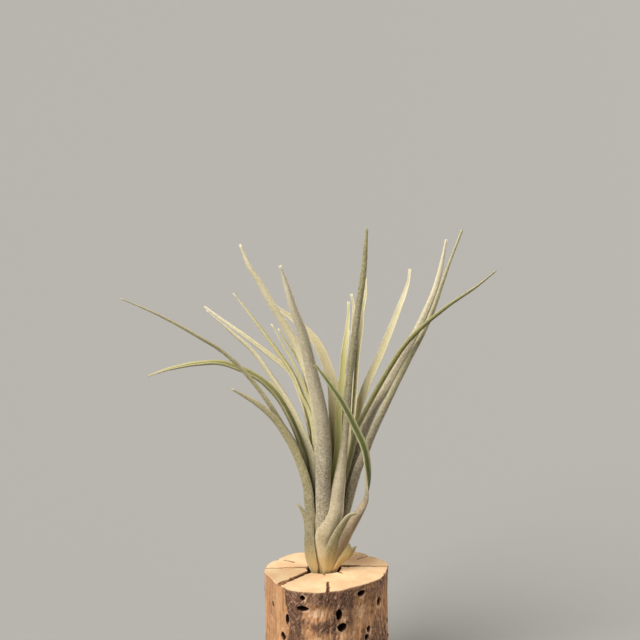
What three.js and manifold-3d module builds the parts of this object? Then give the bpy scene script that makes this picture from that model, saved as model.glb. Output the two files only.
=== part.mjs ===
// A small hybrid air plant standing in the top of a sawn length of worm-bored driftwood.
//
// Units are millimetres, +Z is up and the origin is the middle of the post's sawn foot.
// +X is to the viewer's right and -Y is towards the viewer. The plant is a rosette without
// a pot: every leaf is a long, channelled blade that widens at its foot into a sheath, and
// the sheaths lie in rings round a short stem, the oldest outermost. The foot of the rosette
// sits in a round hole in the post's top.

import * as THREE from "three";
import { mergeVertices } from "three/addons/utils/BufferGeometryUtils.js";
import Module from "manifold-3d";

const wasm = await Module();
wasm.setup();

// Driving dimensions
const POST_HEIGHT = 50;
const CROWN = new THREE.Vector3(-1, 3.5, POST_HEIGHT); // where the plant's axis crosses the post's top
const CLEARANCE = 0.3; // air between two touching pieces
const SEAT_DEPTH = 3.8; // how deep the rosette's foot goes into the post
const SEAT_RADIUS = 7;

// Leaf sizes
const SHEATH_LENGTH = 18; // along the leaf, from its foot to where the blade begins
const FOOT_SHARE = 0.7; // the foot's width, as a share of the sheath's
const MIDRIB_THICKNESS = 0.9;
const MARGIN_THICKNESS = 0.6;
const TIP_HALF_WIDTH = 0.45;
const CHANNEL_DEPTH = 0.8; // the blade's depth, as a share of its half width
const STATION_SPACING = 8.5; // between two cross-sections of a blade
const TWIST_SPACING = 4; // the same, of a blade that twists
const FULLNESS = 3; // the higher, the later the blade narrows towards its tip

// The rings of sheaths. Each is the line that a sheath's back follows: distance from the
// plant's axis and height above the post's top.
const RINGS = {
  outer: [[4, -3.2], [5.7, 0], [7.3, 4.5], [7.8, 10.5]],
  second: [[3.6, -1.8], [5, 1], [6.2, 6], [6.6, 12]],
  third: [[3.3, -0.4], [4.3, 2.2], [5.2, 7], [5.4, 13]],
  inner: [[3.2, 1.2], [3.6, 3.6], [4.1, 8], [4.3, 13]],
  heart: [[2.2, 4.2], [2.6, 6.5], [2.9, 10], [3.1, 14]],
};

// The short stem that the sheaths stand round: radius and height above the post's top.
const STEM = [[2.6, -3.5], [2.6, -3], [2.4, -1.8], [2.1, -0.4], [1.8, 1.2], [1.2, 3.4], [0.7, 6.5]];

// The leaves, from the heart of the rosette outwards. azimuth is where the sheath stands on
// its ring, in degrees from +X towards +Y. path is the middle of the blade, on from the
// sheath. sheath and blade are half widths, and foot is the foot's width as a share of the
// sheath's. facing is the way the blade's back turns once it is clear of its neighbours; left
// out, it is outwards and down along the azimuth. twist turns the back about the leaf's own
// line instead, in degrees. turns and narrows are where along the leaf that turning, and the
// sheath's narrowing to the blade, begin and end. rows is how much of the ring a short leaf
// follows before it goes its own way.
const LEAVES = [
  { name: "leaf_heart_left", ring: "heart", azimuth: 200, sheath: 1.6, blade: 1.8,
    path: [[-3.5, 2.5, 90], [-4.5, 2.5, 110], [-7, 1.5, 118], [-10, 0, 127], [-14, -1, 135.5],
      [-17.5, -2.5, 142], [-21, -3.5, 149]] },
  { name: "leaf_heart_right", ring: "heart", azimuth: 30, sheath: 1.6, blade: 1.4, fullness: 5,
    facing: [0.4, 1, -0.2],
    path: [[6, 4.5, 84], [8, 5, 97.5], [9, 6, 117], [10, 7, 136.5], [10.5, 7.5, 147.5],
      [10.5, 8, 153.5], [9.5, 8, 158.5]] },
  { name: "leaf_inner_left_green", ring: "inner", azimuth: 178, sheath: 2, blade: 2.2,
    path: [[-4.8, 3.5, 85], [-5.2, 3, 106], [-7, 3, 114], [-10, 2.5, 120.5], [-13, 2.5, 128],
      [-19.5, 2, 138], [-27, 1.5, 148.5], [-35.5, 1, 160]] },
  { name: "leaf_inner_left_short", ring: "inner", azimuth: 140, sheath: 2, blade: 1.7,
    path: [[-4, 6, 88], [-4.5, 5, 112], [-6.5, 4, 124], [-10.5, 3, 133], [-15, 2.5, 140],
      [-18.5, 2, 146]] },
  { name: "leaf_inner_back_arching", ring: "inner", azimuth: 104, sheath: 2.4, blade: 2.5,
    facing: [0.25, 1, -0.35],
    path: [[1.5, 8.5, 78], [4, 9, 96.5], [3.5, 10, 104], [3, 12, 115.5], [2, 14, 123.5],
      [0, 16.5, 129.5], [-2, 18, 134], [-4.5, 19.5, 138], [-11, 23, 144], [-20.5, 27, 150.5]] },
  { name: "leaf_inner_back_green", ring: "inner", azimuth: 68, sheath: 2, blade: 1.6, fullness: 4,
    path: [[3, 6.5, 84], [4.5, 7, 97], [5, 8, 112.5], [6, 9, 122.5], [6.5, 10, 129.5], [7, 10.5, 136],
      [8, 11.5, 143], [8.5, 12.5, 148], [8.5, 13, 154.5]] },
  { name: "leaf_inner_right_pale", ring: "inner", azimuth: 18, sheath: 2, blade: 1.5, fullness: 4,
    facing: [0.5, 1, -0.2],
    path: [[7, 4.5, 84], [9, 5, 97.5], [10, 5.5, 109.5], [11, 6.5, 120], [11.5, 7.5, 128.5],
      [12.5, 8.5, 138.5], [13.5, 9.5, 145.5], [14, 10.5, 151.5], [15, 11, 157], [15, 12, 164]] },
  { name: "leaf_inner_front", ring: "inner", azimuth: 322, sheath: 2, blade: 1.65, fullness: 5,
    path: [[6, -0.3, 82], [10, -1, 99], [11.5, -2, 107], [14.5, -3, 114], [17, -3.5, 119],
      [20, -5, 125], [27, -8, 138], [32, -10, 145], [38, -12, 151.5], [45.5, -15.5, 158.5],
      [54.5, -21, 166], [61.5, -26, 173]] },
  { name: "leaf_inner_left_tall", ring: "inner", azimuth: 226, sheath: 2.2, blade: 2.5,
    facing: [-0.5, -0.8, -0.4],
    path: [[-3.2, 0, 84], [-3.5, 0, 106.5], [-5, 0, 118], [-6.5, 0, 124.5], [-11, -1, 138.5],
      [-15.2, -2, 146.5], [-20.5, -3.5, 155.5], [-26, -5.5, 166], [-28.8, -6.5, 170.5],
      [-32.5, -8, 180]] },
  { name: "leaf_third_left_mid", ring: "third", azimuth: 146, sheath: 2.6, blade: 1.9,
    path: [[-5.5, 6, 82], [-5.8, 5.5, 101.5], [-7, 5.5, 107.5], [-10.5, 6, 120], [-14, 7, 127.5],
      [-22, 9, 134], [-29.5, 11, 139.5], [-37.5, 13.5, 145], [-47.5, 16, 152]] },
  { name: "leaf_third_back_tall", ring: "third", azimuth: 92, sheath: 2.6, blade: 1.9,
    path: [[1, 14, 80], [2.5, 20, 100], [6, 25, 120], [9, 30, 140]] },
  { name: "leaf_third_back_left_tall", ring: "third", azimuth: 118, sheath: 2.4, blade: 1.9,
    path: [[-2.5, 9, 80], [-4, 13, 99], [-5, 17, 108.5], [-7, 23, 118.5], [-11, 30, 129.5],
      [-15.5, 36, 138], [-20.5, 42, 145.5]] },
  { name: "leaf_third_right_cream", ring: "third", azimuth: 46, sheath: 2.6, blade: 1.85,
    fullness: 4, facing: [0.35, 1, -0.4],
    path: [[6.5, 8, 82], [9, 9, 100.5], [11.5, 9.5, 110.5], [13.5, 9.5, 116], [16.5, 11, 124],
      [20, 12.5, 131.5], [22.5, 14, 137], [25, 15.5, 143], [26.5, 17, 146.5], [28, 17.5, 150.5],
      [29.5, 18.5, 154], [31, 19.5, 158], [32, 20, 161.5], [32.5, 21, 166]] },
  { name: "leaf_third_right_grey", ring: "third", azimuth: 4, sheath: 2.6, blade: 2.7, fullness: 2,
    facing: [0.3, -1, -0.3],
    path: [[7, 2, 76], [9, 1, 88.5], [10.5, 1.5, 94.5], [12.7, 2, 101.5], [15.5, 2.5, 108.5],
      [19, 3, 116], [23.7, 4, 123.5], [29, 5.5, 133.5], [33.5, 6, 141.5], [38.5, 7, 152],
      [42.5, 7.5, 163], [45.7, 8, 179.5]] },
  { name: "leaf_third_left_low", ring: "third", azimuth: 190, sheath: 2.6, blade: 2.9,
    path: [[-5.6, 3, 80], [-6, 3.5, 96], [-9.5, 3.5, 106], [-14, 3.5, 115.5], [-21, 3.5, 126.5],
      [-28.5, 3.5, 137], [-36.5, 3.5, 144.5], [-46, 3.5, 153]] },
  { name: "leaf_third_right_pale", ring: "third", azimuth: 330, sheath: 3, blade: 2.2, fullness: 1.2,
    facing: [0.5, -0.9, -0.3],
    path: [[7.6, -1, 73], [10, -1.5, 83], [12.3, -2, 91.5], [14.7, -2.5, 97.5], [18.2, -3, 107],
      [24, -4, 120], [31.5, -5, 136], [35.5, -5.5, 144], [40, -6, 154.5], [45.5, -7, 171.5],
      [50.5, -7.5, 185.5]] },
  { name: "leaf_third_front_left", ring: "third", azimuth: 250, sheath: 3.4, blade: 3, fullness: 2.4,
    facing: [-0.15, -1, -0.3],
    path: [[-1.5, -5, 74.5], [-1.5, -6, 80.5], [-1.5, -7.5, 89], [-1, -9.5, 97.5], [-2, -13.5, 114],
      [-6, -19, 134.5], [-9.5, -24, 150.5], [-12.2, -26.5, 158.5], [-15.2, -30, 170],
      [-17, -32, 176]] },
  { name: "leaf_second_back_left_low", ring: "second", azimuth: 128, sheath: 2.8, blade: 1.8,
    path: [[-6, 11, 78], [-7, 14, 90.5], [-9, 18, 97], [-11.5, 22.5, 101.5], [-15.5, 27, 108],
      [-19, 33, 113], [-23, 39, 117]] },
  { name: "leaf_second_back_left", ring: "second", azimuth: 106, sheath: 2.8, blade: 2,
    path: [[-3.5, 13, 72], [-4, 19, 87], [-4, 26, 99], [-4, 35, 107]] },
  { name: "leaf_second_back_right", ring: "second", azimuth: 72, sheath: 2.8, blade: 2,
    path: [[3, 13, 75], [5, 19, 93], [6.5, 26, 109], [7.5, 34, 121]] },
  { name: "leaf_second_back_right_tall", ring: "second", azimuth: 38, sheath: 2.8, blade: 2.1,
    path: [[6.5, 10, 78], [9.5, 13, 95], [13.5, 18, 101.5], [18, 24, 107.5], [25, 32, 116],
      [32, 40, 127], [37, 45, 137.5]] },
  { name: "leaf_second_left_drooping", ring: "second", azimuth: 164, sheath: 2.8, blade: 2.3,
    fullness: 4,
    path: [[-7.6, 5, 76], [-7.6, 5, 91], [-10.5, 5, 100.5], [-13.5, 5, 108.5], [-18.5, 6, 117.5],
      [-24, 6.5, 123.5], [-28.5, 7.5, 126.5], [-34, 8, 129], [-41, 9, 131], [-49, 10.5, 130.5],
      [-61, 12, 128], [-69.5, 13, 125]] },
  { name: "leaf_second_left_long", ring: "second", azimuth: 202, sheath: 3, blade: 2.1,
    path: [[-7.8, 1, 78], [-10, 1.5, 96], [-14, 1.5, 103.5], [-17.5, 1, 109], [-21, 0.5, 115],
      [-27, 0, 124], [-33, -1, 131.5], [-40.5, -2, 138.5], [-48, -3, 143.5], [-63, -5, 152.5],
      [-77.5, -7.5, 159.5]] },
  { name: "leaf_second_left_hook", ring: "second", azimuth: 176, sheath: 2.2, blade: 2.4,
    fullness: 1.3, turns: [4, 13], facing: [-0.6, -1, 0.2],
    path: [[-7.6, 2.6, 65], [-7.9, 2.6, 69], [-9, 2.6, 72.5], [-11.2, 2.6, 76.2]] },
  { name: "leaf_second_front_tall", ring: "second", azimuth: 268, sheath: 4, blade: 1.35,
    fullness: 10, narrows: [14, 62], facing: [-0.35, -1, -0.2],
    path: [[-0.4, -4.4, 66], [1.2, -5.2, 71], [2.9, -5.8, 75.5], [3.5, -6, 80.5], [4.5, -7, 87],
      [5.5, -7.5, 95], [6.5, -8, 103], [7.5, -10, 115], [8.5, -12, 131], [10, -14.5, 145],
      [11.5, -16.5, 157], [12.5, -18, 164.5], [13.5, -19.5, 173], [14, -21, 180.5],
      [14.5, -22, 188]] },
  { name: "leaf_outer_back", ring: "outer", azimuth: 84, sheath: 3.4, blade: 2,
    path: [[1, 17, 69], [2, 27, 81], [3, 38, 87], [3.5, 50, 87]] },
  { name: "leaf_outer_back_left", ring: "outer", azimuth: 122, sheath: 3.2, blade: 1.8,
    path: [[-6, 14, 66], [-7.5, 22, 74], [-8, 31, 78], [-8, 40, 77]] },
  { name: "leaf_outer_back_right", ring: "outer", azimuth: 46, sheath: 3.2, blade: 1.8,
    path: [[6.5, 12, 68], [9, 20, 78], [11, 29, 84], [12, 38, 85]] },
  { name: "leaf_outer_left", ring: "outer", azimuth: 212, foot: 0.55, sheath: 4, blade: 2.3, fullness: 4,
    facing: [-0.7, -0.8, -0.4],
    path: [[-6.6, -2, 72.5], [-7, -2.5, 78], [-7.5, -2.5, 83.5], [-10, -3, 93], [-13.5, -4, 101.5],
      [-19, -5.5, 111], [-25.5, -7.5, 118], [-31.5, -9.5, 122.5], [-36, -11.5, 125.5]] },
  { name: "leaf_outer_right_twisted", ring: "outer", azimuth: 332, sheath: 3.1, blade: 1.8,
    fullness: 4, rows: 3, narrows: [10, 32], turns: [6, 56], twist: -195,
    path: [[7.3, -1.4, 61], [8.5, -3, 66.5], [10.5, -4.5, 71.5], [13, -7, 77.5], [15, -8.5, 82],
      [15.5, -9.5, 86], [15.5, -11, 92], [15, -12.5, 98], [14, -13.5, 103], [10, -15.5, 112.5],
      [5.5, -17.5, 122], [0, -19, 130.5], [-4.5, -20, 137]] },
  { name: "leaf_outer_front_short", ring: "outer", azimuth: 291, sheath: 2.8, blade: 2, fullness: 4,
    rows: 3, facing: [0.5, -0.9, -0.3],
    path: [[2.6, -5.8, 61], [3.8, -7.2, 66], [6.3, -9, 71.5], [8.9, -10.5, 75.8],
      [11.5, -11, 76.5]] },
  { name: "leaf_outer_right_stub", ring: "outer", azimuth: 326, sheath: 2.3, blade: 1.8,
    fullness: 20, rows: 2, facing: [0.3, -1, 0.1],
    path: [[8, -3, 57], [10.3, -3.7, 61.5]] },
];

// Post sizes. The radius is read every 20 degrees from +X towards +Y.
const POST_RADII = [23.6, 26.2, 26.2, 27.2, 24.5, 24, 25.8, 24.8, 24.8, 24.5, 23.4, 24.6, 27, 26.2,
  23.8, 21.4, 21.6, 22.8];
const POST_SIDES = 54;
const FOOT_CHAMFER = 1;

// Radial cracks in the post's top: where they start and end, their width and depth.
const CRACKS = [
  { from: [-5.5, 1], to: [-11.5, -6.9], width: 2.2, depth: 4.5 },
  { from: [-11, -6.2], to: [-18.9, -17], width: 2.2, depth: 1.4 },
  { from: [-5.5, 4.4], to: [-12, 4.4], width: 1.6, depth: 3 },
  { from: [-11.5, 4.4], to: [-26, 2.8], width: 0.8, depth: 2 },
  { from: [5, 6.2], to: [13, 6.1], width: 2, depth: 4.5 },
  { from: [12.5, 6.1], to: [27, 5.8], width: 1, depth: 3 },
  { from: [0.4, -12.6], to: [0.4, -26], width: 1.3, depth: 1 },
  { from: [3.4, 0.6], to: [6.4, -3.2], width: 1.4, depth: 2.4 },
  { from: [-1.4, -2.6], to: [-0.6, -5.2], width: 1, depth: 2 },
  { from: [-12.5, 10.6], to: [-17, 13.4], width: 0.9, depth: 1.3 },
  { from: [12, 14.4], to: [18, 19.6], width: 0.8, depth: 1.1 },
];

// Grooves down the post where two lobes of the old trunk meet: azimuth and radius.
const GROOVES = [[47.5, 1.6], [145, 1.6]];

// Worm holes seen from the front: azimuth, height below the top, half width and half height.
const FRONT_HOLES = [
  [249.5, 2.4, 0.85, 0.85], [249.5, 6.6, 2, 0.9], [282, 9.8, 1.1, 2], [285.3, 15.1, 1.8, 1.5],
  [309.3, 3.4, 1.6, 1.1], [336.4, 9.2, 1, 1.5], [205, 10, 1, 0.9], [234.5, 12.1, 0.8, 1.8],
  [228, 19.8, 1.7, 1.3], [320.4, 18.9, 0.9, 1.2], [317, 21.8, 1.1, 1],
];
const HOLE_DEPTH = 5;
const SPARE_HOLES = 14; // more of them, by a seeded rule, round the back and down to the foot

// Colours
const leafColour = { color: 0xa9ab8a, roughness: 0.85, metalness: 0 };
const stemColour = { color: 0xb7a877, roughness: 0.9, metalness: 0 };
const woodColour = { color: 0xb08d66, roughness: 0.8, metalness: 0 };

const radians = THREE.MathUtils.degToRad;
const smooth = THREE.MathUtils.smoothstep;
const mix = THREE.MathUtils.lerp;

// Solids from rings of points, and back

// A closed skin through rings that all have the same number of points, with a fan on each end.
function loft(rings) {
  const sides = rings[0].length;
  const points = rings.flat();
  const faces = [];
  for (let ring = 0; ring < rings.length - 1; ring++) {
    for (let side = 0; side < sides; side++) {
      const next = (side + 1) % sides;
      const a = ring * sides + side;
      const b = ring * sides + next;
      faces.push(a, b, b + sides, a, b + sides, a + sides);
    }
  }
  const ends = [[rings[0], 0, true], [rings.at(-1), (rings.length - 1) * sides, false]];
  for (const [ring, first, turned] of ends) {
    const middle = ring.reduce((sum, p) => sum.add(p), new THREE.Vector3()).divideScalar(sides);
    points.push(middle);
    for (let side = 0; side < sides; side++) {
      const a = first + side;
      const b = first + ((side + 1) % sides);
      faces.push(points.length - 1, ...(turned ? [b, a] : [a, b]));
    }
  }
  const geometry = new THREE.BufferGeometry().setFromPoints(points);
  geometry.setIndex(faces);
  return geometry;
}

function solidFrom(geometry) {
  const bare = geometry.clone();
  bare.deleteAttribute("normal");
  bare.deleteAttribute("uv");
  const merged = mergeVertices(bare, 1e-4);
  return new wasm.Manifold(new wasm.Mesh({
    numProp: 3,
    vertProperties: merged.attributes.position.array,
    triVerts: new Uint32Array(merged.index.array),
  }));
}

function geometryFrom(solid) {
  const mesh = solid.getMesh();
  const geometry = new THREE.BufferGeometry();
  geometry.setAttribute("position", new THREE.BufferAttribute(mesh.vertProperties, 3));
  geometry.setIndex(new THREE.BufferAttribute(mesh.triVerts, 1));
  return geometry;
}

// The biggest of a solid's loose pieces: a scrap that a cut leaves is dropped.
function biggestPiece(solid) {
  return solid.decompose().reduce((best, piece) => (piece.volume() > best.volume() ? piece : best));
}

// Leaves

// The line that a leaf follows: up its ring of sheaths, then along its own path.
function leafLine(leaf) {
  const angle = radians(leaf.azimuth);
  const sheath = RINGS[leaf.ring].slice(0, leaf.rows).map(([radius, height]) =>
    new THREE.Vector3(Math.cos(angle) * radius, Math.sin(angle) * radius, height).add(CROWN));
  const blade = leaf.path.map((point) => new THREE.Vector3(...point));
  return new THREE.CatmullRomCurve3([...sheath, ...blade], false, "centripetal");
}

function halfWidth(leaf, along, length) {
  const opening = smooth(along, 0, SHEATH_LENGTH * 0.4);
  const closing = smooth(along, ...(leaf.narrows ?? [SHEATH_LENGTH * 0.55, SHEATH_LENGTH * 1.3]));
  const foot = leaf.sheath * (leaf.foot ?? FOOT_SHARE);
  const widest = mix(mix(foot, leaf.sheath, opening), leaf.blade, closing);
  const taper = (1 - Math.min(1, along / length) ** (leaf.fullness ?? FULLNESS)) ** 0.8;
  return Math.max(TIP_HALF_WIDTH, widest * taper);
}

// One cross-section of a leaf, as a closed ring of points: a crescent whose back is outwards.
function leafSection(centre, side, back, width, depth, growth) {
  const outer = [90, 45, 0, -45, -90];
  const inner = [0];
  const midrib = Math.min(MIDRIB_THICKNESS, depth);
  const innerWidth = Math.max(width * 0.3, width - MARGIN_THICKNESS);
  const place = (across, inwards) =>
    centre.clone().addScaledVector(side, across).addScaledVector(back, -inwards);
  const arc = (degrees, reach, start, sag) => {
    const turn = radians(degrees);
    return place(Math.sin(turn) * reach, start + sag * (1 - Math.cos(turn)));
  };
  const lip = innerWidth - growth;
  return [
    ...outer.map((degrees) => arc(degrees, width + growth, -growth, depth + growth * 2)),
    place(-lip, depth + growth),
    ...inner.map((degrees) => arc(degrees, lip, midrib + growth, depth - midrib)),
    place(lip, depth + growth),
  ];
}

// A leaf's skin. growth swells it on all sides, for the room that its neighbours keep clear.
function leafSolid(leaf, growth = 0) {
  const line = leafLine(leaf);
  const length = line.getLength();
  const shoulder = Math.min(SHEATH_LENGTH * 1.5, length * 0.6);
  const spacing = leaf.twist ? TWIST_SPACING : STATION_SPACING;
  const bladeSteps = Math.max(4, Math.round((length - shoulder) / spacing));
  const stations = [0, 0.15, 0.3, 0.5, 0.7, 0.85].map((share) => share * shoulder);
  for (let step = 0; step <= bladeSteps; step++) {
    stations.push(Math.min(length, mix(shoulder, length, step / bladeSteps)));
  }
  const angle = radians(leaf.azimuth);
  const outwards = new THREE.Vector3(Math.cos(angle), Math.sin(angle), 0);
  const facing = leaf.facing ? new THREE.Vector3(...leaf.facing) : outwards.clone().setZ(-1);
  const ringRadius = RINGS[leaf.ring][2][0];
  const rings = stations.map((along) => {
    const share = Math.min(1, along / length);
    const tangent = line.getTangentAt(share);
    const turned = smooth(along, ...(leaf.turns ?? [shoulder * 0.45, shoulder * 1.4]));
    const back = outwards.clone().lerp(facing, leaf.twist ? 0 : turned);
    back.addScaledVector(tangent, -back.dot(tangent)).normalize();
    back.applyAxisAngle(tangent, radians(leaf.twist ?? 0) * turned);
    const side = new THREE.Vector3().crossVectors(back, tangent);
    const width = halfWidth(leaf, along, length);
    const wrapped = Math.min(width, ringRadius * 0.8);
    const wrap = MARGIN_THICKNESS + ringRadius - Math.sqrt(ringRadius ** 2 - wrapped ** 2);
    const channel = Math.max(MIDRIB_THICKNESS * 0.8, width * CHANNEL_DEPTH);
    const opened = smooth(along, SHEATH_LENGTH * 0.6, SHEATH_LENGTH * 1.3);
    const depth = mix(wrap, channel, opened);
    const centre = line.getPointAt(share).addScaledVector(back, (depth / 2) * opened);
    return leafSection(centre, side, back, width, depth, growth);
  });
  return solidFrom(loft(rings));
}

function stemSolid(growth = 0) {
  const profile = STEM.map(([radius, height]) => new THREE.Vector2(radius + growth, height));
  profile.unshift(new THREE.Vector2(0, STEM[0][1] - growth));
  profile.push(new THREE.Vector2(0, STEM.at(-1)[1] + growth));
  const turned = new THREE.LatheGeometry(profile, 12).rotateX(Math.PI / 2);
  return solidFrom(turned.translate(CROWN.x, CROWN.y, CROWN.z));
}

// All the leaves, from the heart outwards: each gives way to the stem and the ones inside it.
function rosette() {
  const placed = [stemSolid(CLEARANCE)];
  return LEAVES.map((leaf) => {
    const cut = placed.reduce((left, room) => left.subtract(room), leafSolid(leaf));
    placed.push(leafSolid(leaf, CLEARANCE));
    return [leaf.name, geometryFrom(biggestPiece(cut))];
  });
}

// The post

// The post's radius at an azimuth, eased between the readings.
function postRadius(degrees) {
  const place = (((degrees % 360) + 360) % 360) / 360 * POST_RADII.length;
  const before = Math.floor(place);
  const reading = (n) => POST_RADII[n % POST_RADII.length];
  return mix(reading(before), reading(before + 1), smooth(place - before, 0, 1));
}

// Repeatable draws from 0 to 1
function seededDraw(seed) {
  let state = seed;
  return () => {
    state = (state * 1664525 + 1013904223) % 4294967296;
    return state / 4294967296;
  };
}

function crackCutter({ from, to, width, depth }) {
  const start = new THREE.Vector2(...from);
  const run = new THREE.Vector2(...to).sub(start);
  const wedge = new THREE.Shape([[-width / 2, 1], [-width / 6, -depth], [width / 6, -depth], [width / 2, 1]]
    .map(([x, y]) => new THREE.Vector2(x, y)));
  const cutter = new THREE.ExtrudeGeometry(wedge, { depth: run.length(), bevelEnabled: false });
  return solidFrom(cutter.rotateX(Math.PI / 2).rotateZ(Math.PI)
    .rotateZ(run.angle() - Math.PI / 2)
    .translate(start.x, start.y, POST_HEIGHT));
}

function grooveCutter([azimuth, radius]) {
  const cutter = new THREE.CylinderGeometry(radius, radius, POST_HEIGHT + 2, 8).rotateX(Math.PI / 2);
  return solidFrom(cutter.translate(postRadius(azimuth) + radius * 0.2, 0, POST_HEIGHT / 2)
    .rotateZ(radians(azimuth)));
}

function holeCutter([azimuth, below, halfWide, halfHigh]) {
  const radius = postRadius(azimuth);
  const cutter = new THREE.SphereGeometry(1, 8, 6).rotateX(Math.PI / 2);
  cutter.scale(HOLE_DEPTH, halfWide, halfHigh).translate(radius, 0, 0).rotateZ(radians(azimuth));
  return solidFrom(cutter.translate(0, 0, POST_HEIGHT - below));
}

function spareHoles() {
  const draw = seededDraw(7);
  return Array.from({ length: SPARE_HOLES }, (_, n) => {
    const lowerFront = n % 3 === 0;
    const azimuth = lowerFront ? 195 + draw() * 150 : -10 + draw() * 200;
    const below = lowerFront ? 27 + draw() * 17 : 6 + draw() * 37;
    return [azimuth, below, 0.9 + draw() * 1, 0.9 + draw() * 1.2];
  });
}

function post() {
  const levels = [[0, -FOOT_CHAMFER], [FOOT_CHAMFER, 0], [16, 0.5], [34, -0.3], [POST_HEIGHT, 0]];
  const body = loft(levels.map(([height, swell]) =>
    Array.from({ length: POST_SIDES }, (_, n) => {
      const degrees = (n / POST_SIDES) * 360;
      const radius = postRadius(degrees) + swell;
      const turned = radians(degrees);
      return new THREE.Vector3(Math.cos(turned) * radius, Math.sin(turned) * radius, height);
    })));
  const seat = new THREE.CylinderGeometry(SEAT_RADIUS, SEAT_RADIUS - 1, SEAT_DEPTH * 2, 24)
    .rotateX(Math.PI / 2)
    .translate(CROWN.x, CROWN.y, CROWN.z);
  const holes = [...FRONT_HOLES, ...spareHoles()];
  const cuts = [
    solidFrom(seat), ...CRACKS.map(crackCutter), ...GROOVES.map(grooveCutter), ...holes.map(holeCutter),
  ];
  return geometryFrom(biggestPiece(cuts.reduce((left, cut) => left.subtract(cut), solidFrom(body))));
}

// The assembly

function mesh(name, geometry, colour) {
  const made = new THREE.Mesh(geometry, new THREE.MeshStandardMaterial(colour));
  made.name = name;
  return made;
}

const plant = new THREE.Group();
plant.add(mesh("stem", geometryFrom(stemSolid()), stemColour));
for (const [name, geometry] of rosette()) {
  plant.add(mesh(name, geometry, leafColour));
}

const airPlantOnPost = new THREE.Group();
airPlantOnPost.add(mesh("post", post(), woodColour), plant);

export default airPlantOnPost;
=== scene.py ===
"""A small hybrid air plant standing in the top of a sawn length of worm-bored driftwood.

The finer pieces follow the same lines and sizes as the CAD part. Sizes in the tables are in
millimetres, in the part's frame: +Z is up, +X is to the viewer's right, -Y is towards the
viewer and the origin is the middle of the post's foot. Meshes are in metres.
"""

import logging
import math
from dataclasses import dataclass
from enum import Enum

import bpy
import numpy as np
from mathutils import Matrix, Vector, noise


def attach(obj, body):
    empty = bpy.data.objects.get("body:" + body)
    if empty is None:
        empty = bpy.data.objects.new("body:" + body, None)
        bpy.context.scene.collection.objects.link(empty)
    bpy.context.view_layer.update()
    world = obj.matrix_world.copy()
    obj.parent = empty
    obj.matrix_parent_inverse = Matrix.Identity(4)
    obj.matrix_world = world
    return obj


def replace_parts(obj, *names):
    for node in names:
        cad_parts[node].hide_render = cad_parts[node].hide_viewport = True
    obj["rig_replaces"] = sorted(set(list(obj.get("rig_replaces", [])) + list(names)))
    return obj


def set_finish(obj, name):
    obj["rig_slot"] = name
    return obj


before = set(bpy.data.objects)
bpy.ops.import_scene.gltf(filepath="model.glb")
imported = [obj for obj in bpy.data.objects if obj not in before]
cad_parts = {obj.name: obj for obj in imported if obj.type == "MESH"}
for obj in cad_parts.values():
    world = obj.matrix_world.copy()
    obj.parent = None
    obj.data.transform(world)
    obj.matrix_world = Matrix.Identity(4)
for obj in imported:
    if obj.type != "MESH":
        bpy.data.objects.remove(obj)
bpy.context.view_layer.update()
LOG = logging.getLogger("air_plant")

MM = 0.001
WELD = 0.000002
BODY = "root"
POST_HEIGHT = 50
CROWN = np.array([-1, 3.5, POST_HEIGHT])  # where the plant's axis crosses the post's top
Colour = tuple[float, float, float]


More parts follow.
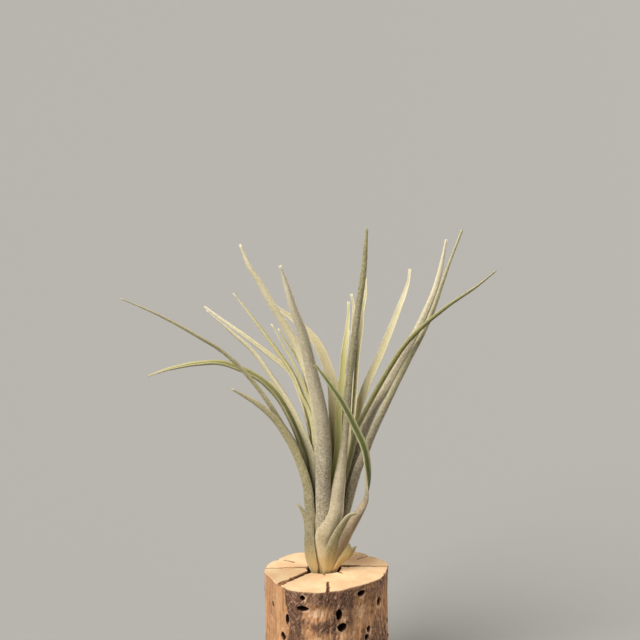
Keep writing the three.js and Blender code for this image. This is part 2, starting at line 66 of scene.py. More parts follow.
class Graph:
    """The nodes of one tree, added and linked by name."""

    def __init__(self, tree: bpy.types.NodeTree) -> None:
        """Takes the tree to add to.

        Args:
            tree: a material's, world's or node group's tree.
        """
        self.tree = tree

    def add(self, kind: str, feeds: dict | None = None, **settings: object) -> bpy.types.Node:
        """Adds a node.

        Args:
            kind: the node's type.
            feeds: for each input, by name or number, a value or the socket that feeds it.
            settings: the node's own options.

        Returns:
            The node.
        """
        made = self.tree.nodes.new(kind)
        for option, value in settings.items():
            setattr(made, option, value)
        for socket, value in (feeds or {}).items():
            self.feed(made.inputs[socket], value)
        return made

    def feed(self, socket: bpy.types.NodeSocket, value: object) -> None:
        """Links a socket to another, or sets its value.

        Args:
            socket: the input.
            value: an output socket, or what the input holds by itself.
        """
        if isinstance(value, bpy.types.NodeSocket):
            self.tree.links.new(value, socket)
        else:
            socket.default_value = value

    def math(self, operation: str, *values: object) -> bpy.types.NodeSocket:
        """Adds a Math node.

        Args:
            operation: what it does.
            values: its inputs.

        Returns:
            The result.
        """
        return self.add("ShaderNodeMath", dict(enumerate(values)), operation=operation).outputs[0]

    def vector(self, operation: str, first: object, second: object) -> bpy.types.NodeSocket:
        """Adds a Vector Math node.

        Args:
            operation: what it does.
            first: the first vector.
            second: the second vector, or the number that scales the first.

        Returns:
            The result.
        """
        port = 3 if operation == "SCALE" else 1
        return self.add("ShaderNodeVectorMath", {0: first, port: second}, operation=operation).outputs[0]

    def remap(self, value: object, low: float, high: float, start: float = 0,
              end: float = 1) -> bpy.types.NodeSocket:
        """Eases a value from one range to another, held at its ends.

        Args:
            value: what to read.
            low: the reading that gives start.
            high: the reading that gives end.
            start: the result at low.
            end: the result at high.

        Returns:
            The result.
        """
        feeds = {0: value, 1: low, 2: high, 3: start, 4: end}
        return self.add("ShaderNodeMapRange", feeds, interpolation_type="SMOOTHSTEP").outputs[0]

    def blend(self, share: object, first: object, second: object) -> bpy.types.NodeSocket:
        """Mixes two colours.

        Args:
            share: how much of the second, from 0 to 1.
            first: a colour or socket.
            second: a colour or socket.

        Returns:
            The mixed colour.
        """
        sockets = [x if isinstance(x, bpy.types.NodeSocket) else (*x, 1) for x in (first, second)]
        feeds = {0: share, 6: sockets[0], 7: sockets[1]}
        return self.add("ShaderNodeMix", feeds, data_type="RGBA").outputs[2]

    def mixed(self, share: object, first: object, second: object) -> bpy.types.NodeSocket:
        """Mixes two numbers; share is how much of the second."""
        return self.add("ShaderNodeMix", {0: share, 2: first, 3: second}, data_type="FLOAT").outputs[0]

    def noise(self, place: object, scale: float, detail: float = 3,
              roughness: float = 0.5) -> bpy.types.NodeSocket:
        """Adds a Noise texture.

        Args:
            place: the coordinates that it reads.
            scale: waves in a metre.
            detail: finer layers.
            roughness: how strong the finer layers are.

        Returns:
            The noise, from 0 to 1.
        """
        feeds = {"Vector": place, "Scale": scale, "Detail": detail, "Roughness": roughness}
        return self.add("ShaderNodeTexNoise", feeds).outputs[0]

    def attribute(self, name: str) -> bpy.types.NodeSocket:
        """Reads a piece's own attribute in a material; gives its number."""
        return self.add("ShaderNodeAttribute", attribute_name=name).outputs["Fac"]

    def place(self) -> bpy.types.NodeSocket:
        """Gives the Object coordinates in a material."""
        return self.add("ShaderNodeTexCoord").outputs["Object"]

    def bump(self, height: object, strength: float, distance: float) -> bpy.types.NodeSocket:
        """Gives the normal that a height makes.

        Args:
            height: the height.
            strength: how much of it shows.
            distance: how high it stands, in metres.

        Returns:
            The normal.
        """
        feeds = {"Height": height, "Strength": strength, "Distance": distance}
        return self.add("ShaderNodeBump", feeds).outputs[0]

    def named(self, name: str, kind: str = "FLOAT") -> bpy.types.NodeSocket:
        """Reads a geometry's own attribute in a geometry tree."""
        return self.add("GeometryNodeInputNamedAttribute", {"Name": name}, data_type=kind).outputs[0]

    def stored(self, geometry: object, name: str, value: object, kind: str = "FLOAT") -> bpy.types.NodeSocket:
        """Stores a value on a geometry's points.

        Args:
            geometry: the geometry.
            name: the attribute's name.
            value: what it holds.
            kind: its type.

        Returns:
            The geometry with the attribute.
        """
        feeds = {"Geometry": geometry, "Name": name, "Value": value}
        return self.add("GeometryNodeStoreNamedAttribute", feeds, data_type=kind, domain="POINT").outputs[0]

    def moved(self, geometry: object, port: str, value: object) -> bpy.types.NodeSocket:
        """Moves a geometry's points: port is Position or Offset, and value what it takes."""
        return self.add("GeometryNodeSetPosition", {"Geometry": geometry, port: value}).outputs[0]

    def split_noise(self, place: object, scale: float, detail: float) -> bpy.types.NodeSocket:
        """Gives three noises at once.

        Args:
            place: the coordinates that it reads.
            scale: waves in a metre.
            detail: finer layers.

        Returns:
            The noises, as a vector about 0.
        """
        feeds = {"Vector": place, "Scale": scale, "Detail": detail}
        colour = self.add("ShaderNodeTexNoise", feeds).outputs["Color"]
        return self.vector("SUBTRACT", colour, (0.5, 0.5, 0.5))

    def dressed(self, geometry: object, finish: object, picked: object = True) -> bpy.types.NodeSocket:
        """Gives a geometry its material, on the picked faces."""
        feeds = {"Geometry": geometry, "Material": finish, "Selection": picked}
        return self.add("GeometryNodeSetMaterial", feeds).outputs[0]

    def solid(self, geometry: object) -> bpy.types.NodeSocket:
        """Turns a geometry's instances into its own mesh."""
        return self.add("GeometryNodeRealizeInstances", {"Geometry": geometry}).outputs[0]


def open_tree(name: str, kind: str, takes: dict[str, tuple],
              gives: dict[str, str]) -> tuple[Graph, dict, bpy.types.Node]:
    """Starts a node group with named inputs and outputs.

    Args:
        name: the group's name.
        kind: GeometryNodeTree or ShaderNodeTree.
        takes: for each input, its socket type and its value, or None where it has none.
        gives: for each output, its socket type.

    Returns:
        The graph, its inputs by name, and the output node.
    """
    tree = bpy.data.node_groups.new(name, kind)
    for label, (socket_type, value) in takes.items():
        made = tree.interface.new_socket(name=label, in_out="INPUT", socket_type="NodeSocket" + socket_type)
        if value is not None:
            made.default_value = value
    for label, socket_type in gives.items():
        tree.interface.new_socket(name=label, in_out="OUTPUT", socket_type="NodeSocket" + socket_type)
    graph = Graph(tree)
    inputs = {socket.name: socket for socket in graph.add("NodeGroupInput").outputs if socket.name}
    return graph, inputs, graph.add("NodeGroupOutput")


def new_material(name: str) -> tuple[bpy.types.Material, Graph, bpy.types.Node]:
    """Starts a material.

    Args:
        name: its name.

    Returns:
        The material, its graph and its Principled BSDF.
    """
    made = bpy.data.materials.new(name)
    made.use_nodes = True
    return made, Graph(made.node_tree), made.node_tree.nodes["Principled BSDF"]


def set_sockets(node: bpy.types.Node, values: dict[str, object]) -> None:
    """Sets a node's own sockets to what they hold all over the piece."""
    for label, value in values.items():
        node.inputs[label].default_value = value


def grown(piece: bpy.types.Object, tree: bpy.types.NodeTree, settings: dict[str, object]) -> bpy.types.Object:
    """Runs a Geometry Nodes tree on a piece and keeps the result as its plain mesh.

    Args:
        piece: the object that the tree starts from.
        tree: the tree.
        settings: the value of each named input.

    Returns:
        The same object, with the new mesh and no modifier.
    """
    modifier = piece.modifiers.new("grown", "NODES")
    modifier.node_group = tree
    for item in tree.interface.items_tree:
        if item.in_out == "INPUT" and item.name in settings:
            modifier[item.identifier] = settings[item.name]
    graph = bpy.context.evaluated_depsgraph_get()
    mesh = bpy.data.meshes.new_from_object(piece.evaluated_get(graph), preserve_all_data_layers=True,
                                           depsgraph=graph)
    piece.modifiers.remove(modifier)
    piece.data = mesh
    return piece


def new_object(name: str, vertices: np.ndarray, faces: list | None = None) -> bpy.types.Object:
    """Makes a mesh object from points in millimetres.

    Args:
        name: the object's name.
        vertices: the points, one row each.
        faces: the faces, or None for points alone.

    Returns:
        The object, linked to the scene.
    """
    mesh = bpy.data.meshes.new(name)
    mesh.from_pydata((np.asarray(vertices, float) * MM).tolist(), [], faces or [])
    made = bpy.data.objects.new(name, mesh)
    bpy.context.scene.collection.objects.link(made)
    return made


def write_attribute(mesh: bpy.types.Mesh, name: str, values: np.ndarray) -> None:
    """Stores numbers or vectors on a mesh's points.

    Args:
        mesh: the mesh.
        name: the attribute's name.
        values: one number or one vector for each point.
    """
    values = np.asarray(values, np.float32)
    kind, key = ("FLOAT_VECTOR", "vector") if values.ndim == 2 else ("FLOAT", "value")
    mesh.attributes.new(name, kind, "POINT").data.foreach_set(key, values.ravel())


def smooth(value: np.ndarray | float, low: float, high: float) -> np.ndarray | float:
    """Eases from 0 at low to 1 at high.

    Args:
        value: what to read.
        low: where the ease starts.
        high: where it ends.

    Returns:
        The eased value.
    """
    share = np.clip((value - low) / (high - low), 0, 1)
    return share * share * (3 - 2 * share)


def hand_over(piece: bpy.types.Object, slot: str, *nodes: str) -> None:
    """Seats a finished piece on the frame and reports it.

    Args:
        piece: the finished piece.
        slot: the record's material slot.
        nodes: the CAD nodes that it stands for.
    """
    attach(piece, BODY)
    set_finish(piece, slot)
    if nodes:
        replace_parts(piece, *nodes)
    LOG.info("%s: %d faces", piece.name, len(piece.data.polygons))


class Ring(Enum):
    """The rings of sheaths: the line up a sheath's back, as radius and height above the post's top."""

    OUTER = ((4, -3.2), (5.7, 0), (7.3, 4.5), (7.8, 10.5))
    SECOND = ((3.6, -1.8), (5, 1), (6.2, 6), (6.6, 12))
    THIRD = ((3.3, -0.4), (4.3, 2.2), (5.2, 7), (5.4, 13))
    INNER = ((3.2, 1.2), (3.6, 3.6), (4.1, 8), (4.3, 13))
    HEART = ((2.2, 4.2), (2.6, 6.5), (2.9, 10), (3.1, 14))


@dataclass(frozen=True)
class LeafFinish:
    """The skin of a leaf: velvety silver scales over a green that shows most inside the channel.

    along holds four colours from the foot to the tip. channel is the colour inside the blade, and
    channel_share how much of it shows. margin is the thin pale edge. bloom is how thickly the
    scales lie. The last entry, if any, is a darker brown patch: its place in metres, its reach and its
    colour.
    """

    along: tuple[Colour, Colour, Colour, Colour]
    channel: Colour
    channel_share: float = 0.5
    margin: Colour = (0.62, 0.58, 0.42)
    bloom: float = 0.6
    dark_patch: tuple[tuple[float, float, float], float, Colour] | None = None

    straw = (0.58, 0.40, 0.175)
    straw_heights = (0.050, 0.063)
    bare_heights = (0.053, 0.067)
    vein = (0.30, 0.32, 0.16)
    vein_waves = 34
    tone_steps = ((0.02, 0.3), (0.3, 0.62), (0.72, 1.0))
    margin_share = 0.35
    scale = (0.92, 0.86, 0.70)
    pore = (0.12, 0.10, 0.06)

    def material(self, name: str, speckle: bpy.types.NodeTree) -> bpy.types.Material:
        """Makes the leaf's material.

        Args:
            name: the material's name.
            speckle: the shared group that draws the scales.

        Returns:
            The material.
        """
        made, g, skin = new_material(name)
        place = g.place()
        along, across, inner = (g.attribute(x) for x in ("along", "across", "inner"))
        wander = g.noise(place, 55, 2)
        reach = g.math("ADD", along, g.math("MULTIPLY_ADD", wander, 0.16, -0.08))
        tone = self.along[0]
        for step, colour in zip(self.tone_steps, self.along[1:]):
            tone = g.blend(g.remap(reach, *step), tone, colour)
        edge = g.math("ABSOLUTE", across)
        inside = g.math("MULTIPLY", inner, g.remap(edge, 0.97, 0.55, 0, self.channel_share))
        tone = g.blend(inside, tone, self.channel)
        tone = g.blend(g.remap(edge, 0.9, 1.0, 0, self.margin_share), tone, self.margin)
        height = g.add("ShaderNodeSeparateXYZ", {0: place}).outputs[2]
        tone = g.blend(g.remap(height, *self.straw_heights, 0.8, 0), tone, self.straw)
        # a darker brown patch round one place, darkest at its middle
        if self.dark_patch:
            spot, width, colour = self.dark_patch
            away = g.add("ShaderNodeVectorMath", {0: place, 1: spot}, operation="DISTANCE").outputs["Value"]
            away = g.math("MULTIPLY_ADD", wander, 0.006, away)
            tone = g.blend(g.remap(away, width, width * 0.35, 0, 0.85), tone, colour)
        veins = g.math("SINE", g.math("MULTIPLY", across, self.vein_waves))
        tone = g.blend(g.math("MULTIPLY_ADD", veins, 0.04, 0.04), tone, self.vein)
        marks = g.add("ShaderNodeGroup", node_tree=speckle)
        cover = g.remap(height, *self.bare_heights, 0.2, 1)
        g.feed(marks.inputs["Bloom"], g.math("MULTIPLY", cover, self.bloom))
        g.feed(marks.inputs["Inside"], inner)
        tone = g.blend(marks.outputs["Scales"], tone, self.scale)
        tone = g.blend(marks.outputs["Pores"], tone, self.pore)
        g.feed(skin.inputs["Base Color"], tone)
        g.feed(skin.inputs["Roughness"], g.remap(marks.outputs["Scales"], 0, 1, 0.62, 0.9))
        relief = g.math("MULTIPLY_ADD", veins, 0.12, marks.outputs["Height"])
        g.feed(skin.inputs["Normal"], g.bump(relief, 0.45, 0.00022))
        set_sockets(skin, {"Sheen Weight": 0.22, "Sheen Roughness": 0.45, "Sheen Tint": (0.96, 0.97, 0.88, 1),
                           "Specular IOR Level": 0.25})
        return made


class Tone(Enum):
    """The leaves' finishes, from the silver and taupe outer faces to the olive and lime young ones."""

    SILVER = LeafFinish(((0.45, 0.36, 0.20), (0.38, 0.33, 0.22), (0.74, 0.67, 0.44), (0.93, 0.85, 0.58)),
                        (0.22, 0.22, 0.095))
    TAUPE = LeafFinish(((0.42, 0.33, 0.21), (0.28, 0.235, 0.165), (0.54, 0.475, 0.335), (0.83, 0.765, 0.57)),
                       (0.20, 0.18, 0.10), bloom=0.75)
    SAGE = LeafFinish(((0.42, 0.33, 0.21), (0.28, 0.235, 0.165), (0.44, 0.40, 0.23), (0.55, 0.53, 0.29)),
                      (0.18, 0.19, 0.08), bloom=0.6)
    CREAM = LeafFinish(((0.42, 0.36, 0.19), (0.45, 0.41, 0.22), (0.70, 0.64, 0.42), (0.85, 0.785, 0.59)),
                       (0.44, 0.42, 0.24), 0.35)
    LIME = LeafFinish(((0.38, 0.34, 0.15), (0.42, 0.41, 0.16), (0.62, 0.58, 0.26), (0.88, 0.81, 0.52)),
                      (0.34, 0.36, 0.125), 0.5, bloom=0.45)
    OLIVE = LeafFinish(((0.36, 0.31, 0.15), (0.30, 0.28, 0.12), (0.36, 0.345, 0.10), (0.68, 0.62, 0.34)),
                       (0.12, 0.135, 0.035), 0.7, bloom=0.25)
    FADED = LeafFinish(((0.22, 0.17, 0.07), (0.21, 0.18, 0.09), (0.35, 0.31, 0.14), (0.66, 0.59, 0.33)),
                       (0.11, 0.11, 0.04), 0.6, bloom=0.45)
    TALL = LeafFinish(((0.52, 0.42, 0.26), (0.44, 0.375, 0.255), (0.25, 0.225, 0.12), (0.31, 0.29, 0.13)),
                      (0.11, 0.11, 0.04), 0.6, bloom=0.5)
    OLD = LeafFinish(((0.42, 0.34, 0.15), (0.29, 0.255, 0.125), (0.25, 0.22, 0.105), (0.38, 0.335, 0.19)),
                     (0.12, 0.11, 0.05), 0.6, bloom=0.35)
    ARCH = LeafFinish(((0.30, 0.27, 0.12), (0.46, 0.41, 0.21), (0.78, 0.68, 0.45), (0.70, 0.61, 0.41)),
                      (0.15, 0.16, 0.06), 0.35, bloom=0.5)
    TWISTED = LeafFinish(((0.46, 0.34, 0.22), (0.37, 0.28, 0.19), (0.46, 0.44, 0.21), (0.47, 0.45, 0.21)),
                         (0.17, 0.22, 0.06), 0.9, (0.60, 0.58, 0.32), 0.4,
                         ((0.015, -0.009, 0.0835), 0.008, (0.27, 0.20, 0.15)))
    STRAW = LeafFinish(((0.54, 0.385, 0.17), (0.47, 0.35, 0.14), (0.36, 0.28, 0.10), (0.27, 0.21, 0.08)),
                       (0.34, 0.28, 0.13), 0.5, (0.46, 0.38, 0.20), 0.25)


@dataclass(frozen=True)
class Leaf:
    """One leaf: a channelled blade on a sheath, in millimetres.

    azimuth is where the sheath stands on its ring, in degrees. sheath and blade are half widths.
    path is the middle of the blade, on from the sheath. facing is the way the blade's back turns
    once it is clear; left out, it is outwards and down. twist turns the back about the leaf's own
    line instead, in degrees. narrows and turns are where along the leaf the sheath's narrowing and
    that turning begin and end. rows is how much of the ring it follows, and foot is the foot's
    width as a share of the sheath's. cup is the blade's depth, as a share of its half width.
    """

    name: str
    ring: Ring
    azimuth: float
    sheath: float
    blade: float
    tone: Tone
    path: tuple[tuple[float, float, float], ...]
    facing: tuple[float, float, float] | None = None
    fullness: float = 3
    rows: int = 4
    notch: float = 0
    narrows: tuple[float, float] = (9.9, 23.4)
    turns: tuple[float, float] | None = None
    twist: float = 0
    foot: float = 0.7
    cup: float = 0.8

    sheath_length = 18
    spacing = 1.3
    least = 0.55
    point_power = 0.55
    sheath_wall = 0.6
    midrib = 0.9
    lip = 0.32
    notch_reach = 2.5
    half_step = 0.3
    widest_wrap = 0.8
    thinnest = 0.3

    def line(self) -> np.ndarray:
        """Draws the leaf's line, up its ring and along its path.

        Returns:
            Close points on it.
        """
        angle = math.radians(self.azimuth)
        foot = [CROWN + (math.cos(angle) * radius, math.sin(angle) * radius, height)
                for radius, height in self.ring.value[:self.rows]]
        return spline(np.array([*foot, *self.path], float))

    def half_width(self, along: np.ndarray, length: float) -> np.ndarray:
        """Gives the leaf's half width.

        Args:
            along: places on the leaf, from its foot.
            length: the leaf's whole length.

        Returns:
            The half width at each place.
        """
        foot = self.sheath * (self.foot + (1 - self.foot) * smooth(along, 0, self.sheath_length * 0.4))
        closing = smooth(along, *self.narrows)
        widest = foot + (self.blade - foot) * closing
        taper = 1 if self.notch else (1 - np.clip(along / length, 0, 1) ** self.fullness) ** self.point_power
        return np.maximum(self.least, widest * taper)

    def spine(self) -> bpy.types.Object:
        """Makes the points that the blade is grown from, with all that its section needs at each.

        Returns:
            The points, as an object.
        """
        dense = self.line()
        reach = np.concatenate([[0], np.cumsum(np.linalg.norm(np.diff(dense, axis=0), axis=1))])
        length = reach[-1]
        along = np.linspace(0, length, round(length / self.spacing) + 1)

        def at(places: np.ndarray) -> np.ndarray:
            """Gives the line's points at places along it."""
            return np.stack([np.interp(places, reach, dense[:, k]) for k in range(3)], 1)

        centre = at(along)
        ahead = np.minimum(along + self.half_step, length)
        behind = np.maximum(along - self.half_step, 0)
        tangent = unit(at(ahead) - at(behind))
        angle = math.radians(self.azimuth)
        outwards = np.array([math.cos(angle), math.sin(angle), 0])
        facing = np.array(self.facing or (*outwards[:2], -1), float)
        shoulder = min(self.sheath_length * 1.5, length * 0.6)
        turned = smooth(along, *(self.turns or (shoulder * 0.45, shoulder * 1.4)))[:, None]
        back = outwards + (facing - outwards) * turned * (not self.twist)
        back = unit(back - tangent * (back * tangent).sum(1, keepdims=True))
        twist = np.radians(self.twist) * turned
        back = back * np.cos(twist) + np.cross(tangent, back) * np.sin(twist)
        width = self.half_width(along, length)
        radius = self.ring.value[2][0]
        reached = np.minimum(width, radius * self.widest_wrap)
        wrap = self.sheath_wall + radius - np.sqrt(radius ** 2 - reached ** 2)
        opened = smooth(along, self.sheath_length * 0.6, self.sheath_length * 1.3)
        depth = wrap + (np.maximum(self.thinnest, width * self.cup) - wrap) * opened
        centre += back * (depth / 2 * opened)[:, None]
        notch = self.notch * smooth(along, length - self.notch_reach, length)
        ends = [0, *range(len(along)), len(along) - 1]
        places, notch = centre[ends], notch[ends]
        places[-1] -= tangent[-1] * self.notch
        notch[-1] = 0
        made = new_object(self.name + "_blade", places)
        width, depth = width[ends], depth[ends]
        width[[0, -1]] = depth[[0, -1]] = 0
        rows = {"half_width": width * MM, "sag": depth * MM, "notch": notch * MM,
                "midrib": np.minimum(self.midrib, depth * 0.55) * MM,
                "lip": np.minimum(self.lip, width * 0.5) * MM, "along": along[ends] / length,
                "back": back[ends], "grain": tangent[ends], "side": np.cross(back, tangent)[ends]}
        for label, values in rows.items():
            write_attribute(made.data, label, values)
        return made


def unit(vectors: np.ndarray) -> np.ndarray:
    """Makes each row's length 1."""
    return vectors / np.linalg.norm(vectors, axis=1, keepdims=True)


def spline(points: np.ndarray, steps: int = 40) -> np.ndarray:
    """Gives close points on a centripetal Catmull-Rom curve.

    Args:
        points: the points that it goes through.
        steps: how many places each span is read at.

    Returns:
        The places, in order.
    """
    ends = (2 * points[0] - points[1], 2 * points[-1] - points[-2])
    full = np.vstack([ends[0], points, ends[1]])
    share = np.linspace(0, 1, steps, endpoint=False)[:, None]
    spans = []
    for before, start, stop, after in zip(full, full[1:], full[2:], full[3:]):
        gaps = [max(np.linalg.norm(b - a), 1e-4) ** 0.5
                for a, b in ((before, start), (start, stop), (stop, after))]
        leave = (start - before) / gaps[0] - (stop - before) / (gaps[0] + gaps[1]) + (stop - start) / gaps[1]
        arrive = (stop - start) / gaps[1] - (after - start) / (gaps[1] + gaps[2]) + (after - stop) / gaps[2]
        leave, arrive = leave * gaps[1], arrive * gaps[1]
        spans.append(start + leave * share + (3 * (stop - start) - 2 * leave - arrive) * share ** 2
                     + (2 * (start - stop) + leave + arrive) * share ** 3)
    return np.vstack([*spans, points[-1:]])


def speckle_group() -> bpy.types.NodeTree:
    """Makes the shader group that draws a leaf's silver scales and the dark pores between them.

    Returns:
        The group.
    """
    g, takes, out = open_tree("leaf_speckle", "ShaderNodeTree",
                              {"Bloom": ("Float", 0.6), "Inside": ("Float", 0.0)},
                              {"Scales": "Float", "Pores": "Float", "Height": "Float"})
    place = g.place()
    cells = g.add("ShaderNodeTexVoronoi", {"Vector": place, "Scale": 1750}).outputs["Distance"]
    dots = g.remap(cells, 0.42, 0.12)
    drifts = g.remap(g.noise(place, 900, 4, 0.7), 0.4, 0.6)
    scales = g.math("MULTIPLY_ADD", dots, 0.6, g.math("MULTIPLY", drifts, 0.4))
    hidden = g.math("SUBTRACT", takes["Bloom"], g.math("MULTIPLY", takes["Inside"], 0.3))
    g.feed(out.inputs["Scales"], g.math("MULTIPLY", scales, hidden))
    pits = g.add("ShaderNodeTexVoronoi", {"Vector": place, "Scale": 1250}).outputs["Distance"]
    patches = g.remap(g.noise(place, 300, 2), 0.38, 0.6, 0.1, 0.75)
    pores = g.math("MULTIPLY", g.remap(pits, 0.34, 0.08), patches)
    g.feed(out.inputs["Pores"], g.math("MULTIPLY", pores, hidden))
    g.feed(out.inputs["Height"], g.math("ADD", dots, g.math("MULTIPLY", g.noise(place, 900, 2), 0.8)))
    return g.tree


def blade_tree() -> bpy.types.NodeTree:
    """Makes the tree that grows a channelled blade along a leaf's spine.

    Returns:
        The tree.
    """
    g, takes, out = open_tree("channelled_blade", "GeometryNodeTree", {
        "Geometry": ("Geometry", None), "Arc Points": ("Int", 16), "Rib Count": ("Float", 7.0),
        "Rib Height": ("Float", 0.00004), "Waver": ("Float", 0.0003), "Seed": ("Float", 0.0),
        "Skin": ("Material", None)}, {"Geometry": "Geometry"})
    spine = takes["Geometry"]
    stations = g.add("GeometryNodeAttributeDomainSize", {0: spine}).outputs["Point Count"]
    arc = takes["Arc Points"]
    half = g.math("ADD", arc, 1)
    columns = g.math("MULTIPLY_ADD", half, 2, 1)
    grid = g.add("GeometryNodeMeshGrid", {"Vertices X": stations, "Vertices Y": columns}).outputs[0]
    index = g.add("GeometryNodeInputIndex").outputs[0]
    row = g.math("FLOOR", g.math("DIVIDE", g.math("ADD", index, 0.5), columns))
    column = g.math("SUBTRACT", index, g.math("MULTIPLY", row, columns))
    column = g.math("MODULO", column, g.math("MULTIPLY", half, 2))

    def sample(value: bpy.types.NodeSocket, kind: str) -> bpy.types.NodeSocket:
        """Reads one of the spine's fields at this row."""
        return g.add("GeometryNodeSampleIndex", {0: spine, 1: value, 2: row}, data_type=kind).outputs[0]

    half_width, sag, midrib, lip, notch, along = (
        sample(g.named(x), "FLOAT") for x in ("half_width", "sag", "midrib", "lip", "notch", "along"))
    back, grain, side = (
        sample(g.named(x, "FLOAT_VECTOR"), "FLOAT_VECTOR") for x in ("back", "grain", "side"))
    centre = sample(g.add("GeometryNodeInputPosition").outputs[0], "FLOAT_VECTOR")

    inner = g.math("GREATER_THAN", column, g.math("SUBTRACT", half, 0.5))
    step = g.math("SUBTRACT", column, g.math("MULTIPLY", inner, half))
    turn = g.math("MULTIPLY", g.math("DIVIDE", step, arc), math.pi)
    flip = g.math("MULTIPLY_ADD", inner, 2, -1)
    across = g.math("MULTIPLY", g.math("COSINE", turn), flip)
    lift = g.math("SINE", turn)
    width = g.math("SUBTRACT", half_width, g.math("MULTIPLY", lip, inner))
    room = g.math("SUBTRACT", sag, g.math("MULTIPLY", midrib, inner))
    ribs = g.math("COSINE", g.math("MULTIPLY", turn, takes["Rib Count"]))
    ribs = g.math("MULTIPLY", g.math("MULTIPLY", ribs, lift), takes["Rib Height"])
    ribs = g.math("MULTIPLY", ribs, g.math("MINIMUM", g.math("MULTIPLY", half_width, 700), 1))
    inwards = g.math("SUBTRACT", g.math("SUBTRACT", sag, g.math("MULTIPLY", room, lift)),
                     g.math("MULTIPLY", ribs, flip))
    cut = g.math("MULTIPLY", notch, g.math("SUBTRACT", g.math("ABSOLUTE", across), 1))
    place = g.vector("ADD", centre, g.vector("SCALE", side, g.math("MULTIPLY", across, width)))
    place = g.vector("SUBTRACT", place, g.vector("SCALE", back, inwards))
    place = g.vector("ADD", place, g.vector("SCALE", grain, cut))
    seed = g.add("ShaderNodeCombineXYZ", {0: takes["Seed"], 2: takes["Seed"]}).outputs[0]
    free = g.math("MULTIPLY", g.remap(along, 0.12, 0.4), g.remap(along, 1, 0.9))
    free = g.math("MULTIPLY", takes["Waver"], free)
    sway = g.vector("SCALE", g.split_noise(g.vector("ADD", place, seed), 95, 1), free)
    made = g.moved(grid, "Position", g.vector("ADD", place, sway))
    for label, value in (("along", along), ("across", across), ("inner", inner)):
        made = g.stored(made, label, value)
    made = g.stored(made, "grain", grain, "FLOAT_VECTOR")
    made = g.add("GeometryNodeMergeByDistance", {"Geometry": made, "Distance": WELD}).outputs[0]
    made = g.add("GeometryNodeSetShadeSmooth", {"Geometry": made}).outputs[0]
    g.feed(out.inputs["Geometry"], g.dressed(g.solid(made), takes["Skin"]))
    return g.tree


def trichome_tree() -> bpy.types.NodeTree:
    """Makes the tree that sets fine leaning scales over a blade's skin.

    Returns:
        The tree.
    """
    g, takes, out = open_tree("leaning_scales", "GeometryNodeTree", {
        "Geometry": ("Geometry", None), "Per Square Metre": ("Float", 1.2e6), "Length": ("Float", 0.0005),
        "Width": ("Float", 0.00009), "Lean": ("Float", 0.45), "Seed": ("Int", 3),
        "Silver": ("Material", None), "Ivory": ("Material", None)}, {"Geometry": "Geometry"})
    bald_inside, foot, tip, stray, ivory = 0.8, (0.04, 0.22), (0.985, 0.96), 0.25, 0.35
    outer = g.math("SUBTRACT", 1, g.math("MULTIPLY", g.named("inner"), bald_inside))
    along = g.named("along")
    free = g.math("MULTIPLY", g.remap(along, *foot), g.remap(along, *tip))
    thick = g.math("MULTIPLY", g.math("MULTIPLY", outer, free), takes["Per Square Metre"])
    spread = g.add("GeometryNodeDistributePointsOnFaces",
                   {"Mesh": takes["Geometry"], "Density": thick, "Seed": takes["Seed"]})
    points = g.stored(spread.outputs["Points"], "up", spread.outputs["Normal"], "FLOAT_VECTOR")
    up = g.named("up", "FLOAT_VECTOR")
    lean = g.vector("ADD", g.named("grain", "FLOAT_VECTOR"), g.vector("SCALE", up, takes["Lean"]))
    strays = g.add("FunctionNodeRandomValue", {0: (-stray,) * 3, 1: (stray,) * 3, "Seed": takes["Seed"]},
                  data_type="FLOAT_VECTOR").outputs[0]
    aim = g.add("FunctionNodeAxesToRotation", {0: g.vector("ADD", lean, strays), 1: up},
                primary_axis="Z", secondary_axis="Y").outputs[0]
    cone = {"Vertices": 3, "Side Segments": 1, "Fill Segments": 1, "Radius Top": 0.0,
            "Radius Bottom": takes["Width"], "Depth": takes["Length"]}
    scale = g.add("GeometryNodeMeshCone", cone, fill_type="TRIANGLE_FAN").outputs[0]
    scale = g.add("GeometryNodeTransform", {"Geometry": scale, "Scale": (1, 0.45, 1)}).outputs[0]
    size = g.add("FunctionNodeRandomValue", {2: 0.55, 3: 1.25, "Seed": takes["Seed"]}).outputs[1]
    made = g.add("GeometryNodeInstanceOnPoints",
                 {"Points": points, "Instance": scale, "Rotation": aim, "Scale": size}).outputs[0]
    made = g.dressed(g.solid(made), takes["Silver"])
    pick = g.add("FunctionNodeRandomValue", {6: ivory, "Seed": takes["Seed"]}, data_type="BOOLEAN").outputs[3]
    g.feed(out.inputs["Geometry"], g.dressed(made, takes["Ivory"], pick))
    return g.tree


@dataclass(frozen=True)
class ScaleFinish:
    """The fine leaning scales on the leaves, which are too small to carry a pattern."""

    colour: Colour
    sheen: float = 0.3

    def material(self, name: str) -> bpy.types.Material:
        """Makes the scales' material.

        Args:
            name: the material's name.

        Returns:
            The material.
        """
        made, _, skin = new_material(name)
        set_sockets(skin, {"Base Color": (*self.colour, 1), "Roughness": 0.7, "Sheen Weight": self.sheen})
        return made


